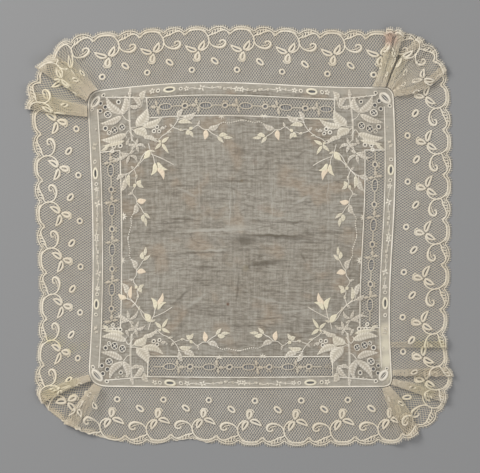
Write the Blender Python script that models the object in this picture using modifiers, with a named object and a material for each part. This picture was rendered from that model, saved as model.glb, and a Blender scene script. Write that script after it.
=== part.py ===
"""Lace handkerchief, lying flat: an embroidered lawn square, four net insertions, a pleated lace edging.

All tables are in millimetres. +X is right, +Y is away from the viewer and +Z is up, off the table.
"""

import math
from collections import namedtuple

import bmesh
import bpy
from mathutils import Vector

MM = 0.001

CLOTH_THICKNESS = 1.0
SEAM_GAP = 0.3
LAYER_RISE = 1.4
SCALLOP_DEPTH = 3.2
STRAIGHT_ONCE_TURNED = 2.0
SCALLOP_CUSPS = (-0.305, 0.235, 0.695)
COLUMNS_PER_SCALLOP = 4
COLUMNS_PER_FOLD = 5
ROWS_ACROSS_LACE = 4
SHORTEST_PANEL_STEPS = 2

NOMINAL_WIDTH = 216.0
NOMINAL_HEIGHT = 212.0
LAWN_COLUMN_STEP = 10.0
LAWN_ROW_STEP = 5.0
OUTLINE_STEPS = 90

# The lawn square: where its sides would meet, and how far from there the corner starts to round.
Corner = namedtuple("Corner", "x y rounding")
CORNERS = {
    "top_left": Corner(-108.2, 102.8, 9.5),
    "top_right": Corner(109.6, 105.8, 7.0),
    "bottom_right": Corner(109.3, -107.2, 7.0),
    "bottom_left": Corner(-107.6, -107.0, 13.0),
}

# Each side bows outwards as one, two and three half waves of these heights.
Side = namedtuple("Side", "start end bow lean ripple")
SIDES = (
    Side("top_left", "top_right", 4.8, 1.55, -0.2),
    Side("top_right", "bottom_right", -0.05, 2.0, -0.1),
    Side("bottom_right", "bottom_left", 0.85, 0.0, -0.15),
    Side("bottom_left", "top_left", -3.9, -0.25, -0.1),
)

# Slots in the lawn that the insertions fill, on a plain square before the sides bow.
Slot = namedtuple("Slot", "name left right bottom top")
SLOTS = (
    Slot("insertion_top", -65.4, 65.8, 82.5, 96.6),
    Slot("insertion_right", 86.0, 100.2, -63.8, 61.3),
    Slot("insertion_bottom", -65.4, 65.8, -98.0, -83.7),
    Slot("insertion_left", -99.9, -86.0, -63.8, 61.3),
)

# Creases where the lawn lifts off the table, from one end to the other.
LawnCrease = namedtuple("LawnCrease", "x1 y1 x2 y2 height reach")
LAWN_CREASES = (
    LawnCrease(-36.0, 0.0, 82.0, -1.5, 1.2, 7.0),
    LawnCrease(-36.0, 37.5, 30.0, 38.5, 0.9, 6.5),
    LawnCrease(-62.0, -13.5, -34.0, -12.0, 0.7, 6.5),
    LawnCrease(-10.0, -26.0, 20.0, -20.0, 0.8, 6.5),
    LawnCrease(42.0, -14.0, 78.0, -20.0, 0.7, 6.5),
)

# Lace along a side: share of the side that it is sewn at, where its scallops reach, and how much of
# its edge is turned under there.
SideRow = namedtuple("SideRow", "share out_x out_y turned")

# Lace at a corner: distance of its sewn end from the corner's middle, clockwise; where its scallops
# reach; how much of its edge is turned under; the layer it arrives and leaves on; how far the crease
# bows; and how far the next panel puffs.
Fold = namedtuple("Fold", "along out_x out_y turned arrives leaves bow puff")

TOP_LACE = (
    SideRow(0.080, -90.7, 145.6, 0),
    SideRow(0.250, -53.0, 148.6, 0),
    SideRow(0.500, 1.0, 150.0, 0),
    SideRow(0.750, 55.0, 147.3, 0),
    SideRow(0.850, 76.0, 147.0, 0),
)
TOP_RIGHT_LACE = (
    Fold(-18.0, 91.7, 146.6, 0, 0, 0, 0, 0),
    Fold(-10.2, 109.1, 146.6, 0, 0, 1, 1.2, 0),
    Fold(-12.8, 105.4, 147.8, 0, 1, 2, 2.2, 1.2),
    Fold(-9.0, 111.6, 149.4, 0, 2, 2, 1.2, 0.6),
    Fold(-5.0, 117.2, 144.8, 0, 2, 1, 0, 0),
    Fold(-6.4, 113.4, 145.4, 0, 1, 0, 0.3, 0),
    Fold(-3.6, 123.4, 143.6, 0, 0, 0, -1.0, 0),
    Fold(-1.2, 131.4, 140.0, 0, 0, 1, -1.4, 0),
    Fold(-2.2, 127.9, 141.6, 0, 1, 2, -2.8, 0.5),
    Fold(0.0, 132.8, 139.4, 0, 2, 2, -1.0, 0),
    Fold(0.8, 139.2, 134.0, 0, 1, 1, 0.6, 0),
    Fold(1.8, 143.8, 126.4, 0, 2, 2, 2.4, 0),
    Fold(4.6, 147.4, 118.4, 0, 2, 1, 4.6, 0),
    Fold(2.6, 145.8, 122.2, 0, 1, 0, 3.4, 0),
    Fold(3.8, 148.8, 111.0, 0, 0, 0, 1.6, 0),
    Fold(7.4, 149.9, 101.8, 0, 0, 0, 0, 0),
)
RIGHT_LACE = (
    SideRow(0.100, 151.0, 81.0, 0),
    SideRow(0.250, 151.4, 50.9, 0),
    SideRow(0.500, 150.6, -1.1, 0),
    SideRow(0.700, 149.9, -42.7, 0),
)
BOTTOM_RIGHT_LACE = (
    Fold(-39.0, 148.4, -66.0, 0, 0, 0, 0, 0),
    Fold(-31.4, 148.0, -73.4, 0, 2, 2, 0, 0),
    Fold(-27.6, 147.4, -78.4, 0, 2, 1, 0, 0),
    Fold(-30.0, 147.6, -75.2, 0, 1, 0, 0, 0),
    Fold(-23.5, 148.4, -82.3, 0, 0, 0, 0, 0),
    Fold(-16.0, 148.8, -85.4, 0, 0, 0, 0, 0),
    Fold(-11.2, 150.0, -91.2, 0, 2, 2, 0, 0),
    Fold(-7.4, 152.2, -98.8, 0, 2, 1, 0, 0),
    Fold(-9.6, 150.6, -93.4, 0, 1, 0, 0, 0),
    Fold(-5.4, 151.8, -102.2, 0, 0, 0, 0, 0),
    Fold(-4.4, 150.2, -108.4, 0, 2, 2, 0, 0),
    Fold(-1.2, 147.0, -117.8, 0, 2, 1, 0, 0),
    Fold(-3.2, 148.8, -112.0, 0, 1, 0, 0, 0),
    Fold(-0.2, 144.9, -124.2, 0, 0, 0, 0, 0),
    Fold(1.4, 139.3, -131.8, 0, 0, 0, -0.8, 0),
    Fold(4.4, 120.6, -144.2, 0, 0, 1, 1.6, 0),
    Fold(1.6, 127.0, -141.0, 0, 1, 2, -2.8, 0.8),
    Fold(3.8, 118.8, -145.6, 0, 2, 2, 0, 0),
    Fold(6.4, 113.6, -147.4, 0, 2, 2, 0, 0),
    Fold(9.0, 105.6, -148.0, 0, 0, 0, 0, 0),
)
BOTTOM_LACE = (
    SideRow(0.120, 82.0, -148.9, 0),
    SideRow(0.300, 44.0, -149.7, 0),
    SideRow(0.500, 1.6, -149.0, 0),
    SideRow(0.600, -19.6, -147.0, 0.5),
    SideRow(0.660, -32.4, -143.8, 3.5),
    SideRow(0.730, -47.3, -145.4, 1.5),
    SideRow(0.790, -60.0, -148.0, 0),
    SideRow(0.840, -70.5, -148.4, 0),
)
BOTTOM_LEFT_LACE = (
    Fold(-26.0, -78.5, -147.2, 0.5, 0, 0, 0, 0),
    Fold(-19.0, -87.4, -144.7, 3.0, 0, 0, 0, 0),
    Fold(-11.5, -98.6, -142.3, 4.0, 0, 0, 0, 0),
    Fold(-7.0, -110.4, -138.6, 4.5, 2, 2, 0, 0),
    Fold(-1.8, -123.7, -133.3, 5.0, 2, 1, 0.8, 0),
    Fold(-5.2, -116.2, -135.4, 5.0, 1, 0, 0, 0),
    Fold(-0.4, -128.4, -129.2, 5.0, 0, 0, 0, 0),
    Fold(1.0, -135.0, -123.4, 4.5, 0, 0, 0, 0),
    Fold(4.8, -142.6, -112.4, 1.4, 0, 1, 0.8, 0),
    Fold(2.2, -140.0, -118.1, 3.0, 1, 2, 1.2, 0.4),
    Fold(6.0, -143.6, -110.6, 1.0, 2, 2, 0.6, 0),
    Fold(8.4, -144.9, -104.8, 0.4, 0, 0, 0, 0),
    Fold(10.6, -145.2, -100.2, 0, 0, 0, 0, 0),
)
LEFT_LACE = (
    SideRow(0.120, -143.2, -78.6, 0),
    SideRow(0.300, -142.2, -41.0, 0),
    SideRow(0.500, -144.0, 0.5, 0),
    SideRow(0.700, -146.0, 42.0, 0),
)
TOP_LEFT_LACE = (
    Fold(-24.0, -147.3, 76.9, 0, 0, 0, 0, 0),
    Fold(-9.4, -149.8, 102.8, 0, 0, 1, 0, 0),
    Fold(-15.0, -151.9, 91.2, 0, 1, 2, -0.4, 1.6),
    Fold(-8.0, -150.6, 105.0, 0, 2, 2, 0, 0),
    Fold(-6.6, -149.4, 108.9, 0, 0, 0, 0, 0),
    Fold(-5.9, -146.6, 112.8, 0, 0, 0, 0, 0),
    Fold(5.2, -134.2, 129.2, 0, 0, 1, 2.2, 0),
    Fold(-3.0, -143.2, 121.4, 0, 1, 4, 0, 0.6),
    Fold(2.6, -133.0, 128.0, 0, 4, 3, 0, 0),
    Fold(0.6, -137.6, 125.6, 0, 3, 2, 0, 0),
    Fold(6.8, -126.5, 138.2, 0, 2, 2, 0, 0),
    Fold(10.0, -117.5, 143.0, 0, 0, 0, 0, 0),
    Fold(12.2, -108.0, 144.5, 0, 0, 0, 0, 0),
)

# The edging clockwise from the top side: its corner or side, and the pattern repeats that it holds.
Run = namedtuple("Run", "rows corner repeats")
RUNS = (
    Run(TOP_LACE, 0, 5.677),
    Run(TOP_RIGHT_LACE, 1, 4.766),
    Run(RIGHT_LACE, 1, 4.61),
    Run(BOTTOM_RIGHT_LACE, 2, 5.59),
    Run(BOTTOM_LACE, 2, 4.91),
    Run(BOTTOM_LEFT_LACE, 3, 4.46),
    Run(LEFT_LACE, 3, 4.73),
    Run(TOP_LEFT_LACE, 4, 5.257),
)
FIRST_REPEAT = 0.077

Station = namedtuple("Station", "at out turned arrives leaves bow puff")
Paint = namedtuple("Paint", "red green blue roughness")
LAWN_PAINT = Paint(0.36, 0.32, 0.26, 0.9)
INSERTION_PAINT = Paint(0.55, 0.47, 0.33, 0.85)
EDGING_PAINT = Paint(0.62, 0.54, 0.41, 0.85)


def blend(start, end, share):
    return start + (end - start) * share


def ease(share):
    return share * share * (3 - 2 * share)


def side_point(side, share):
    """A point along one bowed side, before the corners are rounded."""
    start = Vector(CORNERS[side.start][:2])
    end = Vector(CORNERS[side.end][:2])
    chord = end - start
    outward = Vector((-chord.y, chord.x)).normalized()
    turn = math.pi * share
    height = side.bow * math.sin(turn) + side.lean * math.sin(2 * turn) + side.ripple * math.sin(3 * turn)
    return start + chord * share + outward * height


def lawn_outline():
    """The lawn's edge clockwise from the middle of its top left corner, and where its corners are."""
    points = []
    corner_points = []
    for number, side in enumerate(SIDES):
        corner = CORNERS[side.start]
        tip = Vector(corner[:2])
        before = SIDES[number - 1]
        steps = [step / OUTLINE_STEPS for step in range(OUTLINE_STEPS + 1)]
        arriving = [side_point(before, share) for share in steps]
        leaving = [side_point(side, share) for share in steps]
        first = [point for point in arriving if (point - tip).length > corner.rounding][-1]
        last = [point for point in leaving if (point - tip).length > corner.rounding][0]
        corner_points.append(len(points) + 4)
        for share in [step / 8 for step in range(9)]:
            points.append(blend(blend(first, tip, share), blend(tip, last, share), share))
        far_tip = Vector(CORNERS[side.end][:2])
        far_rounding = CORNERS[side.end].rounding
        for point in leaving:
            if (point - tip).length > corner.rounding and (point - far_tip).length > far_rounding:
                points.append(point)
    middle = corner_points[0]
    points = points[middle:] + points[:middle] + [points[middle]]
    lengths = [0.0]
    for earlier, later in zip(points, points[1:]):
        lengths.append(lengths[-1] + (later - earlier).length)
    corners = [lengths[number - middle] for number in corner_points] + [lengths[-1]]
    return points, lengths, corners


OUTLINE, OUTLINE_LENGTHS, CORNER_PLACES = lawn_outline()


def outline_point(at, offset=0.0):
    """The point at a distance along the lawn's edge, moved outwards by an offset."""
    at = at % OUTLINE_LENGTHS[-1]
    number = 1
    while OUTLINE_LENGTHS[number] < at:
        number += 1
    start, end = OUTLINE[number - 1], OUTLINE[number]
    span = OUTLINE_LENGTHS[number] - OUTLINE_LENGTHS[number - 1]
    share = (at - OUTLINE_LENGTHS[number - 1]) / max(span, 1e-6)
    tangent = (end - start).normalized()
    return blend(start, end, share) + Vector((-tangent.y, tangent.x)) * offset


def edge_point(corner, share):
    return outline_point(blend(CORNER_PLACES[corner], CORNER_PLACES[corner + 1], share))


def lawn_point(x, y):
    """Carries a point of the plain square to the real lawn, whose four sides bow."""
    u = x / NOMINAL_WIDTH + 0.5
    v = y / NOMINAL_HEIGHT + 0.5
    top, bottom = edge_point(0, u), edge_point(2, 1 - u)
    right, left = edge_point(1, 1 - v), edge_point(3, v)
    top_left, top_right = edge_point(0, 0), edge_point(1, 0)
    bottom_right, bottom_left = edge_point(2, 0), edge_point(3, 0)
    across = blend(blend(bottom_left, bottom_right, u), blend(top_left, top_right, u), v)
    return blend(bottom, top, v) + blend(left, right, u) - across


def lawn_lift(point):
    """How far the creases lift the lawn at a point."""
    lift = 0.0
    for crease in LAWN_CREASES:
        start = Vector((crease.x1, crease.y1))
        line = Vector((crease.x2, crease.y2)) - start
        away = point - start
        share = away.dot(line) / line.length_squared
        across = abs(away.x * line.y - away.y * line.x) / line.length
        if 0 < share < 1 and across < crease.reach:
            ridge = math.cos(0.5 * math.pi * across / crease.reach) ** 2
            lift += crease.height * ridge * math.sin(math.pi * share) ** 0.6
    return lift


def ruled(stops, step):
    """Positions from the first stop to the last, with a line on every stop."""
    stops = sorted(set(stops))
    lines = [stops[0]]
    for start, end in zip(stops, stops[1:]):
        parts = max(1, round((end - start) / step))
        lines += [blend(start, end, part / parts) for part in range(1, parts + 1)]
    return lines


def surface(name, columns, rows, place):
    """A grid of columns by rows whose points are placed one by one, in millimetres."""
    mesh = bpy.data.meshes.new(name)
    shape = bmesh.new()
    bmesh.ops.create_grid(shape, x_segments=columns - 1, y_segments=rows - 1, size=0.5)
    for vertex in shape.verts:
        column = round((vertex.co.x + 0.5) * (columns - 1))
        row = round((vertex.co.y + 0.5) * (rows - 1))
        vertex.co = Vector(place(column, row)) * MM
    shape.to_mesh(mesh)
    shape.free()
    return mesh


def cloth_object(name, mesh, paint, collection):
    """Gives an open surface its thickness and its material."""
    cloth = bpy.data.objects.new(name, mesh)
    collection.objects.link(cloth)
    thickness = cloth.modifiers.new("Thickness", "SOLIDIFY")
    thickness.thickness = CLOTH_THICKNESS * MM
    thickness.offset = 0.0
    thickness.use_even_offset = True
    material = bpy.data.materials.new(name)
    material.use_nodes = True
    shader = material.node_tree.nodes["Principled BSDF"]
    shader.inputs["Base Color"].default_value = (paint.red, paint.green, paint.blue, 1.0)
    shader.inputs["Roughness"].default_value = paint.roughness
    shader.inputs["Metallic"].default_value = 0.0
    mesh.materials.append(material)
    return cloth


def flat_cloth_point(x, y):
    point = lawn_point(x, y)
    return point.x, point.y, CLOTH_THICKNESS / 2 + lawn_lift(point)


def in_slot(centre_x, centre_y):
    return any(s.left < centre_x < s.right and s.bottom < centre_y < s.top for s in SLOTS)


def make_lawn(collection):
    """The lawn square, one cloth with a slot cut for each insertion."""
    half_width, half_height = NOMINAL_WIDTH / 2, NOMINAL_HEIGHT / 2
    x_stops = [-half_width, half_width] + [s.left for s in SLOTS] + [s.right for s in SLOTS]
    y_stops = [-half_height, half_height] + [s.bottom for s in SLOTS] + [s.top for s in SLOTS]
    xs = ruled(x_stops, LAWN_COLUMN_STEP)
    ys = ruled(y_stops, LAWN_ROW_STEP)
    plain = surface("lawn_panel", len(xs), len(ys), lambda i, j: (xs[i], ys[j], 0.0))
    shape = bmesh.new()
    shape.from_mesh(plain)
    slots = [f for f in shape.faces if in_slot(*(f.calc_center_median().xy / MM))]
    bmesh.ops.delete(shape, geom=slots, context="FACES")
    for vertex in shape.verts:
        x, y = vertex.co.xy / MM
        vertex.co = Vector(flat_cloth_point(x, y)) * MM
    shape.to_mesh(plain)
    shape.free()
    return cloth_object("lawn_panel", plain, LAWN_PAINT, collection)


def make_insertion(slot, collection):
    """A strip of net lace that fills one slot, a seam's gap inside it."""
    xs = ruled((slot.left + SEAM_GAP, slot.right - SEAM_GAP), LAWN_COLUMN_STEP)
    ys = ruled((slot.bottom + SEAM_GAP, slot.top - SEAM_GAP), LAWN_COLUMN_STEP)
    mesh = surface(slot.name, len(xs), len(ys), lambda i, j: flat_cloth_point(xs[i], ys[j]))
    return cloth_object(slot.name, mesh, INSERTION_PAINT, collection)


def station_of(row, corner):
    """A row of the edging's tables as a place along the lawn's edge."""
    if isinstance(row, SideRow):
        at = blend(CORNER_PLACES[corner], CORNER_PLACES[corner + 1], row.share)
        return Station(at, Vector((row.out_x, row.out_y)), row.turned, 0, 0, 0, 0)
    at = CORNER_PLACES[corner] + row.along
    return Station(at, Vector((row.out_x, row.out_y)), *row[3:])


def is_fold(station):
    return station.arrives != station.leaves


def smooth_out(before, start, end, after, share):
    """The scallops' reach between two stations, curved where no fold breaks the lace."""
    chord = end.out - start.out
    leaving = chord if is_fold(start) or before is None else (end.out - before.out) / 2
    arriving = chord if is_fold(end) or after is None else (after.out - start.out) / 2
    leaving = leaving.normalized() * chord.length
    arriving = arriving.normalized() * chord.length
    s2, s3 = share ** 2, share ** 3
    curve = start.out * (2 * s3 - 3 * s2 + 1) + leaving * (s3 - 2 * s2 + share)
    return curve + end.out * (3 * s2 - 2 * s3) + arriving * (s3 - s2)


def lace_stations():
    """Every station of the closed edging in order, each with its place in the pattern."""
    stations, pins = [], []
    repeat = FIRST_REPEAT
    for run in RUNS:
        pins.append((len(stations), repeat))
        stations += [station_of(row, run.corner) for row in run.rows]
        repeat += run.repeats
    first = stations[0]
    stations.append(first._replace(at=first.at + OUTLINE_LENGTHS[-1]))
    pins.append((len(stations) - 1, repeat))
    return stations, repeats_at(stations, pins)


def repeats_at(stations, pins):
    """Shares the repeats between two pinned stations by the lengths of the panels between them."""
    repeats = [0.0] * len(stations)
    for (first, low), (last, high) in zip(pins, pins[1:]):
        lengths = [0.0]
        for number in range(first, last):
            chord = stations[number + 1].out - stations[number].out
            lengths.append(lengths[-1] + chord.length)
        for number in range(first, last + 1):
            repeats[number] = low + (high - low) * lengths[number - first] / lengths[-1]
    return repeats


def scallop_dip(repeat, turned):
    """How far the edge falls back between two scallops; a turned edge is straight."""
    place = (repeat - SCALLOP_CUSPS[0]) % 1.0 + SCALLOP_CUSPS[0]
    low, high = SCALLOP_CUSPS[0:2] if place < SCALLOP_CUSPS[1] else SCALLOP_CUSPS[1:3]
    dip = SCALLOP_DEPTH * abs(2 * (place - low) / (high - low) - 1) ** 2.4
    return dip * (1 - min(1.0, turned / STRAIGHT_ONCE_TURNED))


def panel_shares(low, high):
    """Where a panel's columns stand, so that every cusp of the scallops has one."""
    marks = []
    for whole in range(math.floor(low) - 1, math.ceil(high) + 2):
        for start, end in zip(SCALLOP_CUSPS, SCALLOP_CUSPS[1:]):
            steps = range(COLUMNS_PER_SCALLOP)
            marks += [whole + blend(start, end, step / COLUMNS_PER_SCALLOP) for step in steps]
    margin = 0.35 * (SCALLOP_CUSPS[1] - SCALLOP_CUSPS[0]) / COLUMNS_PER_SCALLOP
    inside = [(mark - low) / (high - low) for mark in marks if low + margin < mark < high - margin]
    if len(inside) < SHORTEST_PANEL_STEPS - 1:
        inside = [step / SHORTEST_PANEL_STEPS for step in range(1, SHORTEST_PANEL_STEPS)]
    return [0.0] + inside


def column_line(at, out, bow, share):
    """The plan point of one column of the lace, from its sewn end to its scallop."""
    sewn = outline_point(at, SEAM_GAP)
    line = out - sewn
    side = Vector((-line.y, line.x)).normalized()
    return sewn + line * share - side * bow * 4 * share * (1 - share)


def column_shares(out_length, dip):
    last = 1 - dip / out_length
    return [last * row / ROWS_ACROSS_LACE for row in range(ROWS_ACROSS_LACE + 1)]


def panel_column(stations, number, share, repeat):
    """One column of the flat panel that follows a station."""
    start, end = stations[number], stations[number + 1]
    before = stations[number - 1] if number > 0 else None
    after = stations[number + 2] if number + 2 < len(stations) else None
    at = blend(start.at, end.at, share)
    out = smooth_out(before, start, end, after, share)
    bow = blend(start.bow, end.bow, share)
    level = blend(start.leaves, end.arrives, ease(share))
    length = (out - outline_point(at, SEAM_GAP)).length
    dip = scallop_dip(repeat, blend(start.turned, end.turned, share))
    points = []
    for along in column_shares(length, dip):
        plan = column_line(at, out, bow, along)
        puff = start.puff * math.sin(math.pi * share) * (0.35 + 0.65 * along)
        points.append((plan.x, plan.y, CLOTH_THICKNESS / 2 + level * LAYER_RISE + puff))
    return points


def fold_columns(stations, number, repeat):
    """The columns that turn the lace from one layer to the next at a folded station."""
    start, fold = stations[number - 1], stations[number]
    radius = LAYER_RISE * (fold.leaves - fold.arrives) / 2
    middle = CLOTH_THICKNESS / 2 + LAYER_RISE * (fold.arrives + fold.leaves) / 2
    length = (fold.out - outline_point(fold.at, SEAM_GAP)).length
    dip = scallop_dip(repeat, fold.turned)
    columns = []
    for step in range(1, COLUMNS_PER_FOLD + 1):
        angle = math.pi * step / (COLUMNS_PER_FOLD + 1)
        points = []
        for along in column_shares(length, dip):
            plan = column_line(fold.at, fold.out, fold.bow, along)
            away = (plan - column_line(start.at, start.out, start.bow, along)).normalized()
            plan += away * abs(radius) * math.sin(angle)
            points.append((plan.x, plan.y, middle - radius * math.cos(angle)))
        columns.append(points)
    return columns


def make_edging(collection):
    """The gathered lace edging, one strip folded back and forth at the corners and joined end to end."""
    stations, repeats = lace_stations()
    columns = []
    for number in range(len(stations) - 1):
        low, high = repeats[number], repeats[number + 1]
        for share in panel_shares(low, high):
            columns.append(panel_column(stations, number, share, blend(low, high, share)))
        if is_fold(stations[number + 1]):
            columns.append(panel_column(stations, number, 1.0, high))
            columns += fold_columns(stations, number + 1, high)
    columns.append(columns[0])
    rows = ROWS_ACROSS_LACE + 1
    mesh = surface("lace_edging", len(columns), rows, lambda i, j: columns[i][j])
    shape = bmesh.new()
    shape.from_mesh(mesh)
    bmesh.ops.remove_doubles(shape, verts=shape.verts, dist=0.01 * MM)
    bmesh.ops.recalc_face_normals(shape, faces=shape.faces)
    shape.to_mesh(mesh)
    shape.free()
    return cloth_object("lace_edging", mesh, EDGING_PAINT, collection)


def clear_scene():
    for thing in list(bpy.data.objects):
        bpy.data.objects.remove(thing)


clear_scene()
handkerchief = bpy.data.collections.new("lace_handkerchief")
bpy.context.scene.collection.children.link(handkerchief)
make_lawn(handkerchief)
for lace_slot in SLOTS:
    make_insertion(lace_slot, handkerchief)
make_edging(handkerchief)
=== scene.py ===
import math
from collections import namedtuple

import bmesh
import bpy
import mathutils.geometry
import numpy as np
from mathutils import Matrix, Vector


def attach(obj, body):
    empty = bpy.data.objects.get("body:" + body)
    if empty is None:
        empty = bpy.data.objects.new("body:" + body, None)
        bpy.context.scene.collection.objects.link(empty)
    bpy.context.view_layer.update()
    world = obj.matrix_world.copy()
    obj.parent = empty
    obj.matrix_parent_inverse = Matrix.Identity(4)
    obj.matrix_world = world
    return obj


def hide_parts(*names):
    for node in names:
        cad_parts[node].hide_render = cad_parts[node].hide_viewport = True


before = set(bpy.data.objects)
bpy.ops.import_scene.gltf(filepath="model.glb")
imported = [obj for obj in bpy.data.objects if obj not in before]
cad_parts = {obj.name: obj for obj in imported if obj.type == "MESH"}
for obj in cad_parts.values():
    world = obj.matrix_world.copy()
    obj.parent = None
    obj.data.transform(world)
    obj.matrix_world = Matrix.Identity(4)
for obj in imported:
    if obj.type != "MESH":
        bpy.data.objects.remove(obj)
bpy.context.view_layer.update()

scene = bpy.context.scene
MM = 0.001


# The table, the light and the camera
# A plain pale table top lit by a broad soft lamp from the upper left, with a weaker one opposite. The
# camera looks straight down on the cloth, which fills the picture as it does in the photograph.
VIEW_WIDTH = 0.3413
VIEW_MIDDLE = (0.0007, -0.0002)
CAMERA_HEIGHT = 1.6
SENSOR_WIDTH = 36.0
TABLE_SIZE = 5.0
TABLE_COLOUR = (0.268, 0.265, 0.26, 1.0)
SKY_COLOUR = (0.80, 0.82, 0.86, 1.0)
SKY_STRENGTH = 0.61
Lamp = namedtuple("Lamp", "name place size power")
LAMPS = (
    Lamp("key_lamp", (-0.95, 0.85, 0.95), 0.7, 19.0),
    Lamp("fill_lamp", (1.1, -0.7, 1.3), 1.3, 6.7),
)

camera = bpy.data.objects.new("camera", bpy.data.cameras.new("camera"))
camera.data.sensor_width = SENSOR_WIDTH
camera.data.lens = SENSOR_WIDTH * CAMERA_HEIGHT / VIEW_WIDTH
camera.location = (*VIEW_MIDDLE, CAMERA_HEIGHT)
scene.collection.objects.link(camera)
scene.camera = camera

for lamp in LAMPS:
    light = bpy.data.lights.new(lamp.name, "AREA")
    light.size = lamp.size
    light.energy = lamp.power
    holder = bpy.data.objects.new(lamp.name, light)
    holder.location = lamp.place
    holder.rotation_euler = Vector(lamp.place).to_track_quat("Z", "Y").to_euler()
    scene.collection.objects.link(holder)

world = bpy.data.worlds.new("pale_room")
world.use_nodes = True
sky = world.node_tree.nodes["Background"]
sky.inputs["Color"].default_value = SKY_COLOUR
sky.inputs["Strength"].default_value = SKY_STRENGTH
scene.world = world
scene.view_settings.view_transform = "Standard"


def new_material(name, roughness, sheen):
    """A Principled material with its constant values set on the shader's own sockets."""
    material = bpy.data.materials.new(name)
    material.use_nodes = True
    shader = material.node_tree.nodes["Principled BSDF"]
    shader.inputs["Roughness"].default_value = roughness
    shader.inputs["Specular IOR Level"].default_value = 0.3
    shader.inputs["Sheen Weight"].default_value = sheen
    shader.inputs["Sheen Roughness"].default_value = 0.5
    return material, shader


table_mesh = bpy.data.meshes.new("table_top")
table_shape = bmesh.new()
bmesh.ops.create_grid(table_shape, x_segments=1, y_segments=1, size=TABLE_SIZE)
table_shape.to_mesh(table_mesh)
table_shape.free()
table = bpy.data.objects.new("table_top", table_mesh)
scene.collection.objects.link(table)
table_paint, table_shader = new_material("table_paint", 0.9, 0.0)
table_shader.inputs["Base Color"].default_value = TABLE_COLOUR
table_mesh.materials.append(table_paint)


# The lawn square
# One square of sheer cotton lawn with four slots, rolled narrow at its edge. Its plan is a plain square
# whose four sides bow, and a few soft creases from folding still lift it off the table.
SQUARE_WIDTH, SQUARE_HEIGHT = 216.0, 212.0
CLOTH_MIDDLE = 0.5
LAWN_THICKNESS = 0.3
LAWN_STEP = 1.3
SIDE_STEPS = 90
CORNER_STEPS = 8
TANGENT_REACH = 0.4

Corner = namedtuple("Corner", "x y rounding")
CORNERS = (
    Corner(-108.2, 102.8, 9.5),
    Corner(109.6, 105.8, 7.0),
    Corner(109.3, -107.2, 7.0),
    Corner(-107.6, -107.0, 13.0),
)
Side = namedtuple("Side", "bow lean ripple")
SIDES = (Side(4.8, 1.55, -0.2), Side(-0.05, 2.0, -0.1), Side(0.85, 0.0, -0.15), Side(-3.9, -0.25, -0.1))
Slot = namedtuple("Slot", "name left right bottom top")
SLOTS = (
    Slot("insertion_top", -65.4, 65.8, 82.5, 96.6),
    Slot("insertion_right", 86.0, 100.2, -63.8, 61.3),
    Slot("insertion_bottom", -65.4, 65.8, -98.0, -83.7),
    Slot("insertion_left", -99.9, -86.0, -63.8, 61.3),
)
Crease = namedtuple("Crease", "x1 y1 x2 y2 height reach")
CREASES = (
    Crease(-12, -0.2, 82, -1.5, 1.2, 4.0),
    Crease(-42, 1.0, -4, 0.4, 0.9, 4.5),
    Crease(-36, 37.5, 30, 38.5, 0.9, 4.5),
    Crease(-62, 10.8, -28, 11.2, 0.45, 3.0),
    Crease(-63, -13.5, -34, -12.0, 0.75, 4.0),
    Crease(-38, -22.6, -12, -22.0, 0.5, 3.5),
    Crease(-2, -21.5, 29, -17.5, 0.8, 4.0),
    Crease(42, -14.5, 76, -21.5, 0.7, 4.5),
    Crease(18, 23.6, 66, 23.4, 0.35, 2.5),
    Crease(-2.1, -17, -2.6, -50, 0.35, 2.5),
    Crease(-6, -47, 34, -53, 0.5, 3.5),
    Crease(-64, -24, -44, -39, 0.4, 3.0),
    Crease(-58, -38, -34, -54, 0.45, 3.0),
    Crease(-44, -31, -24, -40, 0.35, 2.5),
    Crease(-70, 30, -52, 24, 0.35, 3.0),
    Crease(44, 52, 70, 47, 0.35, 3.0),
    Crease(52, -38, 74, -52, 0.4, 3.0),
    Crease(10, -62, 46, -66, 0.35, 3.0),
)
Wave = namedtuple("Wave", "length turn height")
WAVES = (Wave(61, 0.4, 0.12), Wave(43, 2.1, 0.10), Wave(29, 1.2, 0.06), Wave(17, 0.1, 0.04))


def lerp(start, end, share):
    return start + (end - start) * share


def side_points(number):
    """One bowed side before its corners are rounded, clockwise from the top."""
    start, end = np.array(CORNERS[number][:2]), np.array(CORNERS[(number + 1) % 4][:2])
    share = np.linspace(0, 1, SIDE_STEPS + 1)[:, None]
    chord = end - start
    outward = np.array((-chord[1], chord[0])) / np.hypot(*chord)
    side = SIDES[number]
    height = side.bow * np.sin(np.pi * share)
    height += side.lean * np.sin(2 * np.pi * share) + side.ripple * np.sin(3 * np.pi * share)
    return start + chord * share + outward * height


def lawn_outline():
    """The lawn's edge clockwise from the middle of its first corner, and where along it the corners are."""
    points, corners = [], []
    for number, corner in enumerate(CORNERS):
        tip, far = np.array(corner[:2]), CORNERS[(number + 1) % 4]
        arriving, leaving = side_points(number - 1), side_points(number)
        first = arriving[np.hypot(*(arriving - tip).T) > corner.rounding][-1]
        clear = np.hypot(*(leaving - tip).T) > corner.rounding
        last = leaving[clear][0]
        corners.append(len(points) + CORNER_STEPS // 2)
        for share in np.linspace(0, 1, CORNER_STEPS + 1):
            points.append(lerp(lerp(first, tip, share), lerp(tip, last, share), share))
        clear &= np.hypot(*(leaving - np.array(far[:2])).T) > far.rounding
        points += list(leaving[clear])
    middle = corners[0]
    points = np.array(points[middle:] + points[:middle + 1])
    lengths = np.concatenate(([0.0], np.cumsum(np.hypot(*np.diff(points, axis=0).T))))
    return points, lengths, [lengths[number - middle] for number in corners] + [lengths[-1]]


EDGE, EDGE_LENGTHS, CORNER_PLACES = lawn_outline()


def turned(x, y, turn):
    """A point turned about the origin."""
    cos, sin = math.cos(turn), math.sin(turn)
    return x * cos - y * sin, x * sin + y * cos


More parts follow.
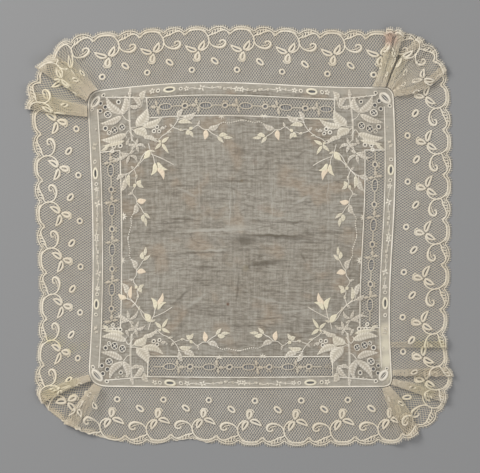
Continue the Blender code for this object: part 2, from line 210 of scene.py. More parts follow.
def edge_at(at, offset=0.0):
    """Points at distances along the lawn's edge, moved outwards by an offset."""

    def on_edge(places):
        places = np.mod(places, EDGE_LENGTHS[-1])
        return np.stack([np.interp(places, EDGE_LENGTHS, axis) for axis in EDGE.T], -1)

    tangent = on_edge(at + TANGENT_REACH) - on_edge(at - TANGENT_REACH)
    tangent /= np.linalg.norm(tangent, axis=-1, keepdims=True)
    return on_edge(at) + np.stack((-tangent[..., 1], tangent[..., 0]), -1) * offset


def lawn_plan(x, y):
    """Carries points of the plain square to the real lawn, whose four sides bow."""
    u, v = x / SQUARE_WIDTH + 0.5, y / SQUARE_HEIGHT + 0.5

    def along(corner, share):
        return edge_at(lerp(CORNER_PLACES[corner], CORNER_PLACES[corner + 1], share))

    zero = np.zeros(1)
    top_left, top_right, bottom_right, bottom_left = [along(corner, zero) for corner in range(4)]
    u, v = u[..., None], v[..., None]
    across = lerp(lerp(bottom_left, bottom_right, u), lerp(top_left, top_right, u), v)
    sides = lerp(along(2, 1 - u[..., 0]), along(0, u[..., 0]), v)
    return sides + lerp(along(3, v[..., 0]), along(1, 1 - v[..., 0]), u) - across


def lawn_rise(plan):
    """How far the creases and the cloth's slight unevenness lift it."""
    x, y = plan[..., 0], plan[..., 1]
    rise = np.zeros(x.shape)
    for wave in WAVES:
        run = (x * math.cos(wave.turn) + y * math.sin(wave.turn)) / wave.length
        rise += wave.height * (0.5 + 0.5 * np.sin(2 * np.pi * run + 3 * np.cos(y / wave.length)))
    for crease in CREASES:
        line = np.array((crease.x2 - crease.x1, crease.y2 - crease.y1))
        length = np.hypot(*line)
        away_x, away_y = x - crease.x1, y - crease.y1
        share = np.clip((away_x * line[0] + away_y * line[1]) / length ** 2, 0, 1)
        wander = 0.8 * np.sin(5.0 * share + crease.x1) + 0.35 * np.sin(17.0 * share + crease.y1)
        across = (away_x * line[1] - away_y * line[0]) / length + wander
        ridge = np.exp(-((across / crease.reach) ** 2) * 5)
        rise += crease.height * ridge * np.sin(np.pi * share) ** 0.6
    return rise


def on_lawn(points):
    """Lays points drawn flat on the plain square, with their height over the cloth, on the real lawn."""
    plan = lawn_plan(points[:, 0], points[:, 1])
    return np.column_stack((plan, CLOTH_MIDDLE + lawn_rise(plan) + points[:, 2]))


def at_height(path, height):
    """A path drawn flat, at one height over the cloth."""
    return np.column_stack((path[:, 0], path[:, 1], np.full(len(path), height)))


def grid_lines(stops, half):
    """Grid lines across the plain square, with a line on both its sides and on every stop."""
    lines = [-half]
    stops = sorted({-half, half, *stops})
    for start, end in zip(stops, stops[1:]):
        lines += list(np.linspace(start, end, max(1, round((end - start) / LAWN_STEP)) + 1)[1:])
    return np.array(lines)


def mesh_piece(name, points, faces, material, edges=()):
    """A new object at the origin from points in millimetres."""
    mesh = bpy.data.meshes.new(name)
    faces = [list(map(int, face)) for face in faces]
    mesh.from_pydata((np.asarray(points) * MM).tolist(), list(edges), faces)
    piece = bpy.data.objects.new(name, mesh)
    scene.collection.objects.link(piece)
    mesh.materials.append(material)
    return piece


def made_plain(piece, smooth=True):
    """Replaces a piece's mesh with its evaluated one and takes its modifiers off."""
    graph = bpy.context.evaluated_depsgraph_get()
    mesh = bpy.data.meshes.new_from_object(piece.evaluated_get(graph))
    piece.modifiers.clear()
    piece.data = mesh
    mesh.name = piece.name
    mesh.polygons.foreach_set("use_smooth", [smooth] * len(mesh.polygons))
    return piece


def corner_places(mesh):
    """The place of every face corner, in millimetres."""
    places = np.zeros(len(mesh.vertices) * 3)
    mesh.vertices.foreach_get("co", places)
    corners = np.zeros(len(mesh.loops), int)
    mesh.loops.foreach_get("vertex_index", corners)
    return places.reshape(-1, 3)[corners] / MM


def add_plan_map(piece):
    """A map seen straight from above, for a piece whose two faces look alike."""
    places = corner_places(piece.data)[:, :2]
    low = places.min(0)
    layer = piece.data.uv_layers.new(name="OFBake")
    layer.data.foreach_set("uv", ((places - low) / (places.max(0) - low).max()).ravel())


def group_socket(group, name, kind, in_out, value=None):
    socket = group.interface.new_socket(name, in_out=in_out, socket_type=kind)
    if value is not None:
        socket.default_value = value
    return socket


def plug(tree, socket, value):
    """Gives a socket a value, or links another node's output to it."""
    if isinstance(value, bpy.types.NodeSocket):
        tree.links.new(value, socket)
    else:
        socket.default_value = value


def node(tree, kind, settings=(), **inputs):
    """A node with its settings, and with inputs that are values or other nodes' outputs."""
    made = tree.nodes.new(kind)
    for name, value in dict(settings).items():
        setattr(made, name, value)
    for name, value in inputs.items():
        plug(tree, made.inputs[name.replace("_", " ")], value)
    return made


def reckoned(tree, operation, *values, kind="ShaderNodeMath"):
    """The outputs of a Math or Vector Math node."""
    made = node(tree, kind, {"operation": operation})
    for socket, value in zip(made.inputs, values):
        plug(tree, socket, value)
    return made.outputs


def ranged(tree, value, low, high, top=1.0, soft=False):
    """A value carried from between low and high to between 0 and top."""
    settings = {"interpolation_type": "SMOOTHSTEP" if soft else "LINEAR"}
    spread = node(tree, "ShaderNodeMapRange", settings, Value=value, From_Min=low, From_Max=high, To_Max=top)
    return spread.outputs["Result"]


def effect_group(name, sizes, results):
    """A shader group whose inputs are sizes in metres and whose outputs are values."""
    group = bpy.data.node_groups.new(name, "ShaderNodeTree")
    for label, size in sizes:
        group_socket(group, label, "NodeSocketFloat", "INPUT", size)
    for label in results:
        group_socket(group, label, "NodeSocketFloat", "OUTPUT")
    return group, node(group, "NodeGroupInput").outputs, node(group, "NodeGroupOutput").inputs


def grain(group, size, **values):
    """Noise on the piece's own place, with grains of a size in metres."""
    place = node(group, "ShaderNodeTexCoord").outputs["Object"]
    scale = reckoned(group, "DIVIDE", 1.0, size)["Value"]
    return node(group, "ShaderNodeTexNoise", Vector=place, Scale=scale, **values).outputs["Fac"]


def age_group():
    """Where old cotton has yellowed: broad soft patches and small blotches, as a mask from 0 to 1."""
    sizes = (("Patch Size", 0.06), ("Blotch Size", 0.012))
    group, given, result = effect_group("cotton_age", sizes, ("Yellowing", "Shade"))
    for size, mask in (("Patch Size", "Yellowing"), ("Blotch Size", "Shade")):
        noise = grain(group, given[size], Detail=3.0, Roughness=0.55)
        plug(group, result[mask], ranged(group, noise, 0.35, 0.68, soft=True))
    return group


COTTON_AGE = age_group()


def spun_group():
    """The twist and fuzz of cotton thread, as a height and a shade."""
    group, given, result = effect_group("spun_cotton", (("Twist Size", 0.0006),), ("Height", "Shade"))
    noise = grain(group, given["Twist Size"], Detail=2.0, Roughness=0.6)
    plug(group, result["Height"], noise)
    plug(group, result["Shade"], ranged(group, noise, 0.3, 0.7))
    return group


SPUN_COTTON = spun_group()


def use_group(tree, group, **sizes):
    return node(tree, "ShaderNodeGroup", {"node_tree": group}, **sizes).outputs


def mixed(tree, mask, low, high, strength=1.0):
    """Mixes two colours by a mask times a strength; each is a colour or another node's output."""
    mix = node(tree, "ShaderNodeMix", {"data_type": "RGBA"})
    if strength != 1:
        mask = reckoned(tree, "MULTIPLY", mask, strength)["Value"]
    plug(tree, mix.inputs["Factor"], mask)
    for name, colour in (("A", low), ("B", high)):
        socket = [s for s in mix.inputs if s.name == name and s.type == "RGBA"][0]
        plug(tree, socket, (*colour, 1.0) if isinstance(colour, tuple) else colour)
    return [s for s in mix.outputs if s.type == "RGBA"][0]


def bumped(tree, shader, height, distance):
    """Relief from a height, at most a distance in metres."""
    bump = node(tree, "ShaderNodeBump", Height=height, Strength=0.5, Distance=distance)
    plug(tree, shader.inputs["Normal"], bump.outputs["Normal"])


LAWN_PALE = (0.425, 0.385, 0.315)
LAWN_WORN = (0.32, 0.278, 0.215)
LAWN_SLUB = (0.57, 0.525, 0.44)
# The tone of the sheer gaps between threads, and also of the painted shade along the creases.
LAWN_GAP_AND_SHADE = (0.15, 0.125, 0.09)
LAWN_EDGE = (0.54, 0.49, 0.40)
LAWN_WARM = (0.44, 0.34, 0.24)
LAWN_LIGHT = (0.56, 0.52, 0.44)
# Uneven threads each way: how their noise is stretched across and down, their strength and their colour.
Streak = namedtuple("Streak", "stretch strength tone")
STREAKS = (
    Streak((0.55, 0.03), 0.42, LAWN_SLUB), Streak((0.025, 0.6), 0.34, LAWN_GAP_AND_SHADE),
    Streak((1.1, 0.09), 0.26, LAWN_GAP_AND_SHADE), Streak((0.07, 1.2), 0.32, LAWN_SLUB),
)
FUZZ_STRETCH = (0.2, 0.62)
FUZZ_STRENGTH = 0.38
WARM_STRETCH = (0.045, 0.045)
# Thin worn lines that wander each way, as old small folds leave them.
WornLines = namedtuple("WornLines", "stretch offset strength")
WORN_LINES = (WornLines((0.011, 0.075), (0.0, 3.7), 0.42), WornLines((0.05, 0.016), (5.1, 0.0), 0.2))
MARK_WANDER = 2.4
BAND_INSIDE = (99.6, 99.4)
Stain = namedtuple("Stain", "x y radius strength red green blue")
STAINS = (
    Stain(-9.2, -47.5, 1.6, 0.85, 0.16, 0.075, 0.04),
    Stain(-0.7, 37.8, 1.8, 0.45, 0.22, 0.17, 0.10),
    Stain(12.1, 19.3, 3.0, 0.22, 0.34, 0.22, 0.17),
    Stain(-28.4, 19.3, 2.6, 0.20, 0.34, 0.22, 0.17),
    Stain(8.5, 50.6, 3.2, 0.18, 0.34, 0.23, 0.17),
    Stain(2.8, -22.6, 3.4, 0.25, 0.36, 0.29, 0.15),
    Stain(104.5, -66.0, 8.0, 0.7, 0.86, 0.77, 0.58),
    Stain(104.5, -76.0, 8.0, 0.8, 0.88, 0.80, 0.61),
    Stain(104.5, -87.0, 8.0, 0.8, 0.88, 0.80, 0.61),
    Stain(104.0, -97.0, 7.0, 0.6, 0.86, 0.78, 0.58),
    Stain(108.6, 40.0, 2.2, 0.7, 0.26, 0.17, 0.16),
    Stain(-47.3, -103.7, 2.4, 0.5, 0.30, 0.20, 0.12),
)
# Painted shade along creases, and painted highlights where a few catch the light: the middle of each,
# its length and width, its turn, and how strong it is.
Mark = namedtuple("Mark", "x y length width turn strength")
CREASE_SHADE_MARKS = (
    Mark(23.5, 0.2, 80, 3.4, 0.0, 0.95), Mark(36.0, -1.6, 60, 2.6, -0.03, 0.5),
    Mark(2.1, -3.6, 26, 9.0, -0.05, 0.75), Mark(-42.7, 11.2, 36, 3.0, -0.07, 0.7),
    Mark(-52.0, 8.8, 20, 2.4, 0.12, 0.5), Mark(-5.3, 37.6, 50, 3.4, -0.02, 0.7),
    Mark(-30.6, -12.1, 60, 2.8, 0.02, 0.65), Mark(17.1, -18.6, 44, 6.0, 0.09, 0.7),
    Mark(-26.7, -22.0, 34, 4.0, 0.0, 0.6), Mark(-42.0, -41.5, 24, 2.8, 0.7, 0.6),
    Mark(-2.5, -36.6, 34, 2.4, 1.5, 0.5), Mark(38.4, 10.1, 44, 2.6, 0.02, 0.6),
    Mark(45.5, 24.5, 26, 2.4, 0.1, 0.5), Mark(43.7, -14.0, 14, 2.6, -1.0, 0.6),
    Mark(-58.0, 3.0, 32, 2.4, 0.03, 0.45), Mark(52.0, -30.0, 36, 2.6, 0.06, 0.45),
    Mark(-20.0, -55.0, 42, 2.6, -0.08, 0.45), Mark(-10.0, 25.0, 60, 2.2, 0.02, 0.35),
    Mark(-30.0, -31.0, 40, 2.2, 0.05, 0.4), Mark(24.0, -33.0, 50, 2.2, -0.03, 0.4),
    Mark(56.0, 2.5, 40, 2.4, 0.04, 0.5), Mark(-48.0, 47.0, 34, 2.4, -0.12, 0.4),
    Mark(30.0, 50.0, 44, 2.2, 0.05, 0.35), Mark(4.0, -62.0, 60, 2.4, 0.02, 0.4),
)
LIGHT_MARKS = (
    Mark(-17.8, 3.6, 76, 3.4, 0.02, 0.8), Mark(-19.9, -10.6, 38, 2.6, 0.03, 0.65),
    Mark(41.2, 25.4, 22, 3.2, 0.45, 0.7), Mark(20.3, -44.6, 40, 3.4, -0.2, 0.55),
    Mark(-33.0, -46.0, 28, 3.2, 0.6, 0.5), Mark(-3.0, 5.6, 26, 6.0, 0.0, 0.5),
    Mark(40.0, -52.0, 36, 3.2, 0.12, 0.45), Mark(-40.0, 30.0, 26, 3.2, -0.5, 0.45),
    Mark(-9.2, 20.0, 46, 1.8, 1.571, 0.6), Mark(20.6, 25.0, 54, 1.8, 1.571, 0.55),
    Mark(25.0, 12.5, 52, 2.6, 0.03, 0.5), Mark(-60.0, -34.0, 40, 1.8, 1.55, 0.4),
    Mark(33.0, -32.0, 44, 1.6, 1.571, 0.4), Mark(-31.0, 34.0, 50, 1.6, 1.571, 0.4),
    Mark(60.0, 34.0, 50, 1.6, 1.571, 0.4),
)


def marked(tree, colour, place, marks, tone):
    """Adds long soft wandering marks to a colour; the place is in millimetres on the plan."""
    wander = node(tree, "ShaderNodeTexNoise", {"noise_dimensions": "2D"}, Vector=place, Scale=0.16,
                  Detail=3.0)
    shifted = reckoned(tree, "MULTIPLY_ADD", wander.outputs["Color"], (MARK_WANDER, MARK_WANDER, 0.0), place,
                       kind="ShaderNodeVectorMath")["Vector"]
    for mark in marks:
        oval = node(tree, "ShaderNodeMapping", {"vector_type": "TEXTURE"}, Vector=shifted,
                    Location=(mark.x + MARK_WANDER / 2, mark.y + MARK_WANDER / 2, 0.0),
                    Rotation=(0.0, 0.0, mark.turn), Scale=(mark.length / 2, mark.width / 2, 1.0))
        away = reckoned(tree, "LENGTH", oval.outputs["Vector"], kind="ShaderNodeVectorMath")["Value"]
        colour = mixed(tree, ranged(tree, away, 1.0, 0.1, mark.strength, soft=True), colour, tone)
    return colour


def stained(tree, colour, place, stains):
    """Adds stains to a colour; the place is in millimetres on the plan."""
    for stain in stains:
        middle = (stain.x, stain.y, 0.0)
        away = reckoned(tree, "DISTANCE", place, middle, kind="ShaderNodeVectorMath")["Value"]
        mask = ranged(tree, away, stain.radius, 0.25 * stain.radius, stain.strength, soft=True)
        colour = mixed(tree, mask, colour, (stain.red, stain.green, stain.blue))
    return colour


def stretched_noise(tree, place, stretch, offset=(0.0, 0.0), **values):
    """Noise on the plan, stretched its own way across and down."""
    mapping = node(tree, "ShaderNodeMapping", Vector=place, Location=(*offset, 0.0), Scale=(*stretch, 1.0))
    noise = node(tree, "ShaderNodeTexNoise", {"noise_dimensions": "2D"}, Vector=mapping.outputs["Vector"],
                 Scale=1.0, **values)
    return noise.outputs["Fac"]


def worn_mask(tree, place, lines):
    """Long wandering lines, where a stretched noise passes through its middle value."""
    noise = stretched_noise(tree, place, lines.stretch, lines.offset, Detail=3.0, Roughness=0.45)
    above = reckoned(tree, "SUBTRACT", noise, 0.5)["Value"]
    return ranged(tree, reckoned(tree, "ABSOLUTE", above)["Value"], 0.014, 0.0, soft=True)


def lawn_colour(tree, place, worn):
    """Worn weave: threads and gaps, warm patches, painted shade and highlights on creases, a few old stains.
    """
    age = use_group(tree, COTTON_AGE, Patch_Size=0.07, Blotch_Size=0.011)
    colour = mixed(tree, age["Yellowing"], LAWN_PALE, LAWN_WORN)
    for streak in STREAKS:
        noise = stretched_noise(tree, place, streak.stretch, Detail=1.0)
        colour = mixed(tree, ranged(tree, noise, 0.42, 0.68), colour, streak.tone, streak.strength)
    warm = stretched_noise(tree, place, WARM_STRETCH, Detail=2.0)
    colour = mixed(tree, ranged(tree, warm, 0.52, 0.72, soft=True), colour, LAWN_WARM, 0.55)
    fuzz = stretched_noise(tree, place, FUZZ_STRETCH, Detail=4.0, Roughness=0.7)
    for low, high, tone in ((0.50, 0.34, LAWN_GAP_AND_SHADE), (0.52, 0.68, LAWN_SLUB)):
        colour = mixed(tree, ranged(tree, fuzz, low, high), colour, tone, FUZZ_STRENGTH)
    for lines, mask in zip(WORN_LINES, worn):
        colour = mixed(tree, mask, colour, LAWN_GAP_AND_SHADE, lines.strength)
    band = node(tree, "ShaderNodeAttribute", {"attribute_name": "band"})
    colour = mixed(tree, band.outputs["Fac"], colour, LAWN_EDGE, 0.6)
    # Painted shade along the creases, then painted highlights where a few catch the light.
    colour = marked(tree, colour, place, CREASE_SHADE_MARKS, LAWN_GAP_AND_SHADE)
    colour = marked(tree, colour, place, LIGHT_MARKS, LAWN_LIGHT)
    return stained(tree, colour, place, STAINS)


def lawn_material():
    """Plain-woven lawn: uneven threads both ways, sheer between them."""
    material, shader = new_material("old_lawn", 0.82, 0.15)
    tree = material.node_tree
    place = node(tree, "ShaderNodeUVMap", {"uv_map": "weave"}).outputs["UV"]
    worn = [worn_mask(tree, place, lines) for lines in WORN_LINES]
    plug(tree, shader.inputs["Base Color"], lawn_colour(tree, place, worn))
    threads = []
    for turn in (0.0, math.pi / 2):
        mapping = node(tree, "ShaderNodeMapping", Vector=place, Rotation=(0.0, 0.0, turn))
        wave = node(tree, "ShaderNodeTexWave", Vector=mapping.outputs["Vector"], Scale=0.9, Distortion=1.2,
                    Detail=1.0)
        threads.append(wave.outputs["Fac"])
    cover = reckoned(tree, "MAXIMUM", *threads)["Value"]
    opacity = node(tree, "ShaderNodeMapRange", Value=cover, To_Min=0.72, To_Max=0.96)
    plug(tree, shader.inputs["Alpha"], opacity.outputs["Result"])
    bumped(tree, shader, reckoned(tree, "ADD", cover, worn[0])["Value"], 0.00025)
    return material


# A hole in the lawn has points round its rim and again a little way out, and the grid keeps clear of both.
RIM_SPACING = 0.5
OUTER_SPACING = 0.9
OUTER_GROWTH = 0.75
GRID_CLEARANCE = 1.2
INSIDE_RIM = 0.97
WELD_DISTANCE = 0.01
BAND_FADE = 1.5
Opening = namedtuple("Opening", "x y length width turn")


def away_from(shape, x, y):
    """Distance from an oval, in its own radii: 1 on its edge."""
    across, down = turned(x - shape.x, y - shape.y, -shape.turn)
    return np.hypot(across / (0.5 * shape.length), down / (0.5 * shape.width))


def oval_loop(x, y, length, width, turn, count):
    """Points round an oval."""
    angle = np.linspace(0, 2 * np.pi, count, endpoint=False)
    across, down = turned(0.5 * length * np.cos(angle), 0.5 * width * np.sin(angle), turn)
    return np.column_stack((x + across, y + down))


def opening_loop(opening, spacing, growth=0.0):
    """Points round an opening or that far outside it, about evenly spaced."""
    count = max(8, round(math.pi * (opening.length + opening.width) / 2 / spacing))
    length, width = opening.length + 2 * growth, opening.width + 2 * growth
    return oval_loop(opening.x, opening.y, length, width, opening.turn, count)


def is_in_slot(x, y):
    inside = np.zeros(len(x), bool)
    for slot in SLOTS:
        inside |= (x > slot.left) & (x < slot.right) & (y > slot.bottom) & (y < slot.top)
    return inside


def make_lawn(material, openings):
    """The lawn as a fine triangle mesh with its slots and its eyelets' holes left out."""
    xs = grid_lines([x for slot in SLOTS for x in (slot.left, slot.right)], SQUARE_WIDTH / 2)
    ys = grid_lines([y for slot in SLOTS for y in (slot.bottom, slot.top)], SQUARE_HEIGHT / 2)
    x, y = [axis.ravel() for axis in np.meshgrid(xs, ys)]
    keep = np.ones(len(x), bool)
    rings = []
    for opening in openings:
        wide = opening._replace(length=opening.length + GRID_CLEARANCE, width=opening.width + GRID_CLEARANCE)
        keep &= (away_from(wide, x, y) > 1) | np.isin(x, xs[[0, -1]]) | np.isin(y, ys[[0, -1]])
        rings += [opening_loop(opening, RIM_SPACING), opening_loop(opening, OUTER_SPACING, OUTER_GROWTH)]
        rings.append([[opening.x, opening.y]])
    points = np.vstack([np.column_stack((x, y))[keep]] + rings)
    points = [Vector(point) for point in points]
    found = mathutils.geometry.delaunay_2d_cdt(points, [], [], 0, WELD_DISTANCE)
    x, y = np.array([tuple(point) for point in found[0]]).T
    faces = np.array(found[2])
    middle_x, middle_y = x[faces].mean(1), y[faces].mean(1)
    keep = ~is_in_slot(middle_x, middle_y)
    for opening in openings:
        keep &= away_from(opening, middle_x, middle_y) > INSIDE_RIM
    used, faces = np.unique(faces[keep], return_inverse=True)
    faces = faces.reshape(-1, 3)
    x, y = x[used], y[used]
    flat = np.column_stack((x, y, np.zeros(len(x))))
    piece = mesh_piece("lawn_panel_cloth", on_lawn(flat), faces, material)
    weave = piece.data.uv_layers.new(name="weave")
    weave.data.foreach_set("uv", flat[faces.ravel(), :2].ravel())
    band = piece.data.attributes.new("band", "FLOAT", "POINT")
    outside = np.maximum(np.abs(x) - BAND_INSIDE[0], np.abs(y) - BAND_INSIDE[1])
    band.data.foreach_set("value", np.clip(outside / BAND_FADE, 0, 1))
    thickness = piece.modifiers.new("thickness", "SOLIDIFY")
    thickness.thickness = LAWN_THICKNESS * MM
    thickness.offset = 0.0
    made_plain(piece)
    add_plan_map(piece)
    return piece


# Threads and stitches
# Everything sewn or twisted is cotton thread. A path becomes a round thread, a whipped seam becomes a
# row of short slanted stitches, and both are Geometry Nodes with their sizes as inputs.


def geometry_tree(name, inputs):
    tree = bpy.data.node_groups.new(name, "GeometryNodeTree")
    group_socket(tree, "Geometry", "NodeSocketGeometry", "INPUT")
    for label, kind, value in inputs:
        group_socket(tree, label, kind, "INPUT", value)
    group_socket(tree, "Geometry", "NodeSocketGeometry", "OUTPUT")
    return tree, node(tree, "NodeGroupInput").outputs


def upright_paths(tree, given):
    """The piece's edges as curves whose normals point up."""
    path = node(tree, "GeometryNodeMeshToCurve", Mesh=given["Geometry"]).outputs["Curve"]
    return node(tree, "GeometryNodeSetCurveNormal", {"mode": "Z_UP"}, Curve=path).outputs["Curve"]


def finished_tree(tree, given, shape):
    """Ends a tree as every one here ends: instances made real, then the material."""
    real = node(tree, "GeometryNodeRealizeInstances", Geometry=shape).outputs["Geometry"]
    paint = node(tree, "GeometryNodeSetMaterial", Geometry=real, Material=given["Material"])
    node(tree, "NodeGroupOutput", Geometry=paint.outputs["Geometry"])
    return tree


def thread_tree():
    """Every path becomes a thread, a little flatter than it is wide."""
    tree, given = geometry_tree("thread_along_paths", (
        ("Radius", "NodeSocketFloat", 0.0002), ("Sides", "NodeSocketInt", 4),
        ("Flatness", "NodeSocketFloat", 0.8), ("Material", "NodeSocketMaterial", None)))
    ring = node(tree, "GeometryNodeCurvePrimitiveCircle", Resolution=given["Sides"], Radius=given["Radius"])
    scale = node(tree, "ShaderNodeCombineXYZ", X=1.0, Y=given["Flatness"], Z=1.0)
    oval = node(tree, "GeometryNodeTransform", Geometry=ring.outputs["Curve"], Scale=scale.outputs["Vector"])
    swell = node(tree, "GeometryNodeInputNamedAttribute", {"data_type": "FLOAT"}, Name="swell")
    tube = node(tree, "GeometryNodeCurveToMesh", Curve=upright_paths(tree, given), Fill_Caps=True,
                Profile_Curve=oval.outputs["Geometry"], Scale=swell.outputs["Attribute"])
    return finished_tree(tree, given, tube.outputs["Mesh"])


def stitch_tree():
    """A row of rounded stitches along every path, each turned across it."""
    tree, given = geometry_tree("stitches_along_paths", (
        ("Pitch", "NodeSocketFloat", 0.001), ("Length", "NodeSocketFloat", 0.0012),
        ("Width", "NodeSocketFloat", 0.0006), ("Slant", "NodeSocketFloat", 1.0),
        ("Material", "NodeSocketMaterial", None)))
    spots = node(tree, "GeometryNodeCurveToPoints", {"mode": "LENGTH"}, Curve=upright_paths(tree, given),
                 Length=given["Pitch"])
    flat = node(tree, "FunctionNodeAlignRotationToVector", {"axis": "X"}, Vector=spots.outputs["Tangent"])
    slant = node(tree, "ShaderNodeCombineXYZ", Z=given["Slant"])
    turn = node(tree, "FunctionNodeRotateRotation", {"rotation_space": "LOCAL"},
                Rotation=flat.outputs["Rotation"], Rotate_By=slant.outputs["Vector"])
    ball = node(tree, "GeometryNodeMeshIcoSphere", Radius=0.5, Subdivisions=1)
    scale = node(tree, "ShaderNodeCombineXYZ", X=given["Length"], Y=given["Width"], Z=given["Width"])
    row = node(tree, "GeometryNodeInstanceOnPoints", Points=spots.outputs["Points"],
               Instance=ball.outputs["Mesh"], Rotation=turn.outputs["Rotation"],
               Scale=scale.outputs["Vector"])
    return finished_tree(tree, given, row.outputs["Instances"])


THREAD = thread_tree()
STITCH = stitch_tree()


def worked(name, paths, tree, material, swells=None, **sizes):
    """A mesh of paths, each an array of points in millimetres, turned into threads or stitches."""
    points = np.concatenate(paths)
    ends = np.cumsum([len(path) for path in paths])
    steps = np.setdiff1d(np.arange(len(points) - 1), ends - 1)
    swell = None if swells is None else np.concatenate(swells)
    return worked_net(name, points, np.stack((steps, steps + 1), -1), tree, material, swell, **sizes)


def worked_net(name, points, edges, tree, material, swell=None, **sizes):
    """Threads or stitches along the edges of a net of points, with how thick each is there."""
    piece = mesh_piece(name, points, (), material, edges.tolist())
    thick = piece.data.attributes.new("swell", "FLOAT", "POINT")
    thick.data.foreach_set("value", np.ones(len(points)) if swell is None else swell)
    modifier = piece.modifiers.new(tree.name, "NODES")
    modifier.node_group = tree
    sockets = {s.name: s.identifier for s in tree.interface.items_tree if s.in_out == "INPUT"}
    modifier[sockets["Material"]] = material
    for label, value in sizes.items():
        modifier[sockets[label]] = value
    return made_plain(piece)


def joined(name, parts):
    """One object from several, with its flat map."""
    shape = bmesh.new()
    for part in parts:
        shape.from_mesh(part.data)
    mesh = bpy.data.meshes.new(name)
    shape.to_mesh(mesh)
    shape.free()
    worn = []
    for part in parts:
        if part.data.materials[0] not in worn:
            worn.append(part.data.materials[0])
            mesh.materials.append(part.data.materials[0])
    slots = [np.full(len(part.data.polygons), worn.index(part.data.materials[0])) for part in parts]
    mesh.polygons.foreach_set("material_index", np.concatenate(slots))
    mesh.polygons.foreach_set("use_smooth", [True] * len(mesh.polygons))
    for part in parts:
        bpy.data.objects.remove(part)
    piece = bpy.data.objects.new(name, mesh)
    scene.collection.objects.link(piece)
    add_plan_map(piece)
    return piece


def curve_through(points, step=1.0):
    """A smooth path through given points, a point about every step."""
    points = np.asarray(points, float)
    padded = np.vstack((2 * points[0] - points[1], points, 2 * points[-1] - points[-2]))
    path = []
    for before, start, end, after in zip(padded, padded[1:], padded[2:], padded[3:]):
        count = max(1, round(np.hypot(*(end - start)[:2]) / step))
        bend = 2 * before - 5 * start + 4 * end - after
        twist = 3 * (start - end) + after - before
        for share in np.arange(count) / count:
            path.append(start + 0.5 * share * ((end - before) + share * (bend + share * twist)))
    return np.array(path + [points[-1]])


Pad = namedtuple("Pad", "points faces groove")


def skin(rings, groove, round_trip=False):
    """A closed skin over rings of points; round_trip joins the last ring to the first."""
    rows, sides = rings.shape[:2]
    row = np.arange(rows if round_trip else rows - 1)[:, None]
    side = np.arange(sides)
    corners = [
        row * sides + side, row * sides + (side + 1) % sides,
        (row + 1) % rows * sides + (side + 1) % sides, (row + 1) % rows * sides + side,
    ]
    groove = np.broadcast_to(groove, (rows, sides)).ravel()
    return Pad(rings.reshape(-1, 3), np.stack(corners, -1).reshape(-1, 4), groove)


# A leaf's threads lie in bundles this long, slant this much towards its tip, and sink this far below the
# cloth's face.
BUNDLE_LENGTH = 1.9
STITCH_SLANT = 0.55
PAD_DEPTH = 0.15


def leaf_pad(base, tip, width, height=0.55, bend=0.0, pitch=0.55, vein=0.22):
    """A padded satin-stitch leaf: ribs slant from a middle vein, where the stitches of its halves meet."""
    base, tip = np.array(base, float), np.array(tip, float)
    length = np.hypot(*(tip - base))
    axis = (tip - base) / length
    side = np.array((-axis[1], axis[0]))
    rows = 2 * max(3, round(length / pitch)) + 1
    share = np.linspace(0, 1, rows)[:, None]
    across = np.array((-1.0, -0.85, -0.45, 0.0, 0.45, 0.85, 1.0))
    full = np.sin(np.pi * share ** 0.62) ** 0.8
    along = length * share + STITCH_SLANT * np.abs(across) * 0.5 * width * full * (1 - share)
    sweep = across * 0.5 * width * full + bend * length * np.sin(np.pi * share)
    rib = (np.arange(rows) % 2)[:, None]
    bundle = 0.5 + 0.5 * np.cos(2 * np.pi * (length * share / BUNDLE_LENGTH + 0.13 * length))
    valley = np.exp(-((across / 0.3) ** 2)) * np.sin(np.pi * share)
    rise = height * np.sqrt(np.clip(1 - across ** 2, 0, 1)) * full ** 0.5 - vein * valley
    rise += (0.1 * rib + 0.2 * bundle * (vein > 0)) * full * (np.abs(across) < 0.95)
    flat = base + along[..., None] * axis + sweep[..., None] * side
    under = np.concatenate((flat[:, 3], -PAD_DEPTH * full), 1)
    rings = np.concatenate((flat, rise[..., None]), -1)
    # Painted shade: dark along the vein, between the bundles, on every other rib and round the outline.
    groove = np.clip(valley * (vein > 0.1) + 0.7 * (1 - bundle) * (vein > 0) + 0.25 * (1 - rib), 0, 1)
    groove = np.maximum(groove, np.abs(across) > 0.95)
    groove = np.concatenate((groove, np.ones((rows, 1))), 1)
    return skin(np.concatenate((rings, under[:, None]), 1), groove)


def ring_pad(outer, inner, height):
    """A rounded ring of stitches between two loops of as many points."""
    rib = (np.arange(len(outer)) % 2)[:, None]
    across = np.array((0.0, 0.3, 0.7, 1.0, 0.5))
    rise = np.array((0.1, 1.0, 1.0, 0.1, -0.3)) * height * (1 + 0.08 * rib)
    flat = inner[:, None] + (outer[:, None] - inner[:, None]) * across[None, :, None]
    # Painted shade at the ring's inner and outer edges and underside, and on every other stitch.
    groove = np.maximum(0.35 * (1 - rib), np.array((1.0, 0.0, 0.0, 0.8, 1.0)))
    return skin(np.concatenate((flat, rise[..., None]), -1), groove, round_trip=True)


def eyelet_pad(x, y, length, width, hole_length, hole_width, turn=0.0, height=0.5, pitch=0.6):
    """A ring of buttonhole stitches round a hole, oval where its length and width differ."""
    count = 2 * max(7, round(math.pi * (length + width) / 4 / pitch))
    outer = oval_loop(x, y, length, width, turn, count)
    return ring_pad(outer, oval_loop(x, y, hole_length, hole_width, turn, count), height)


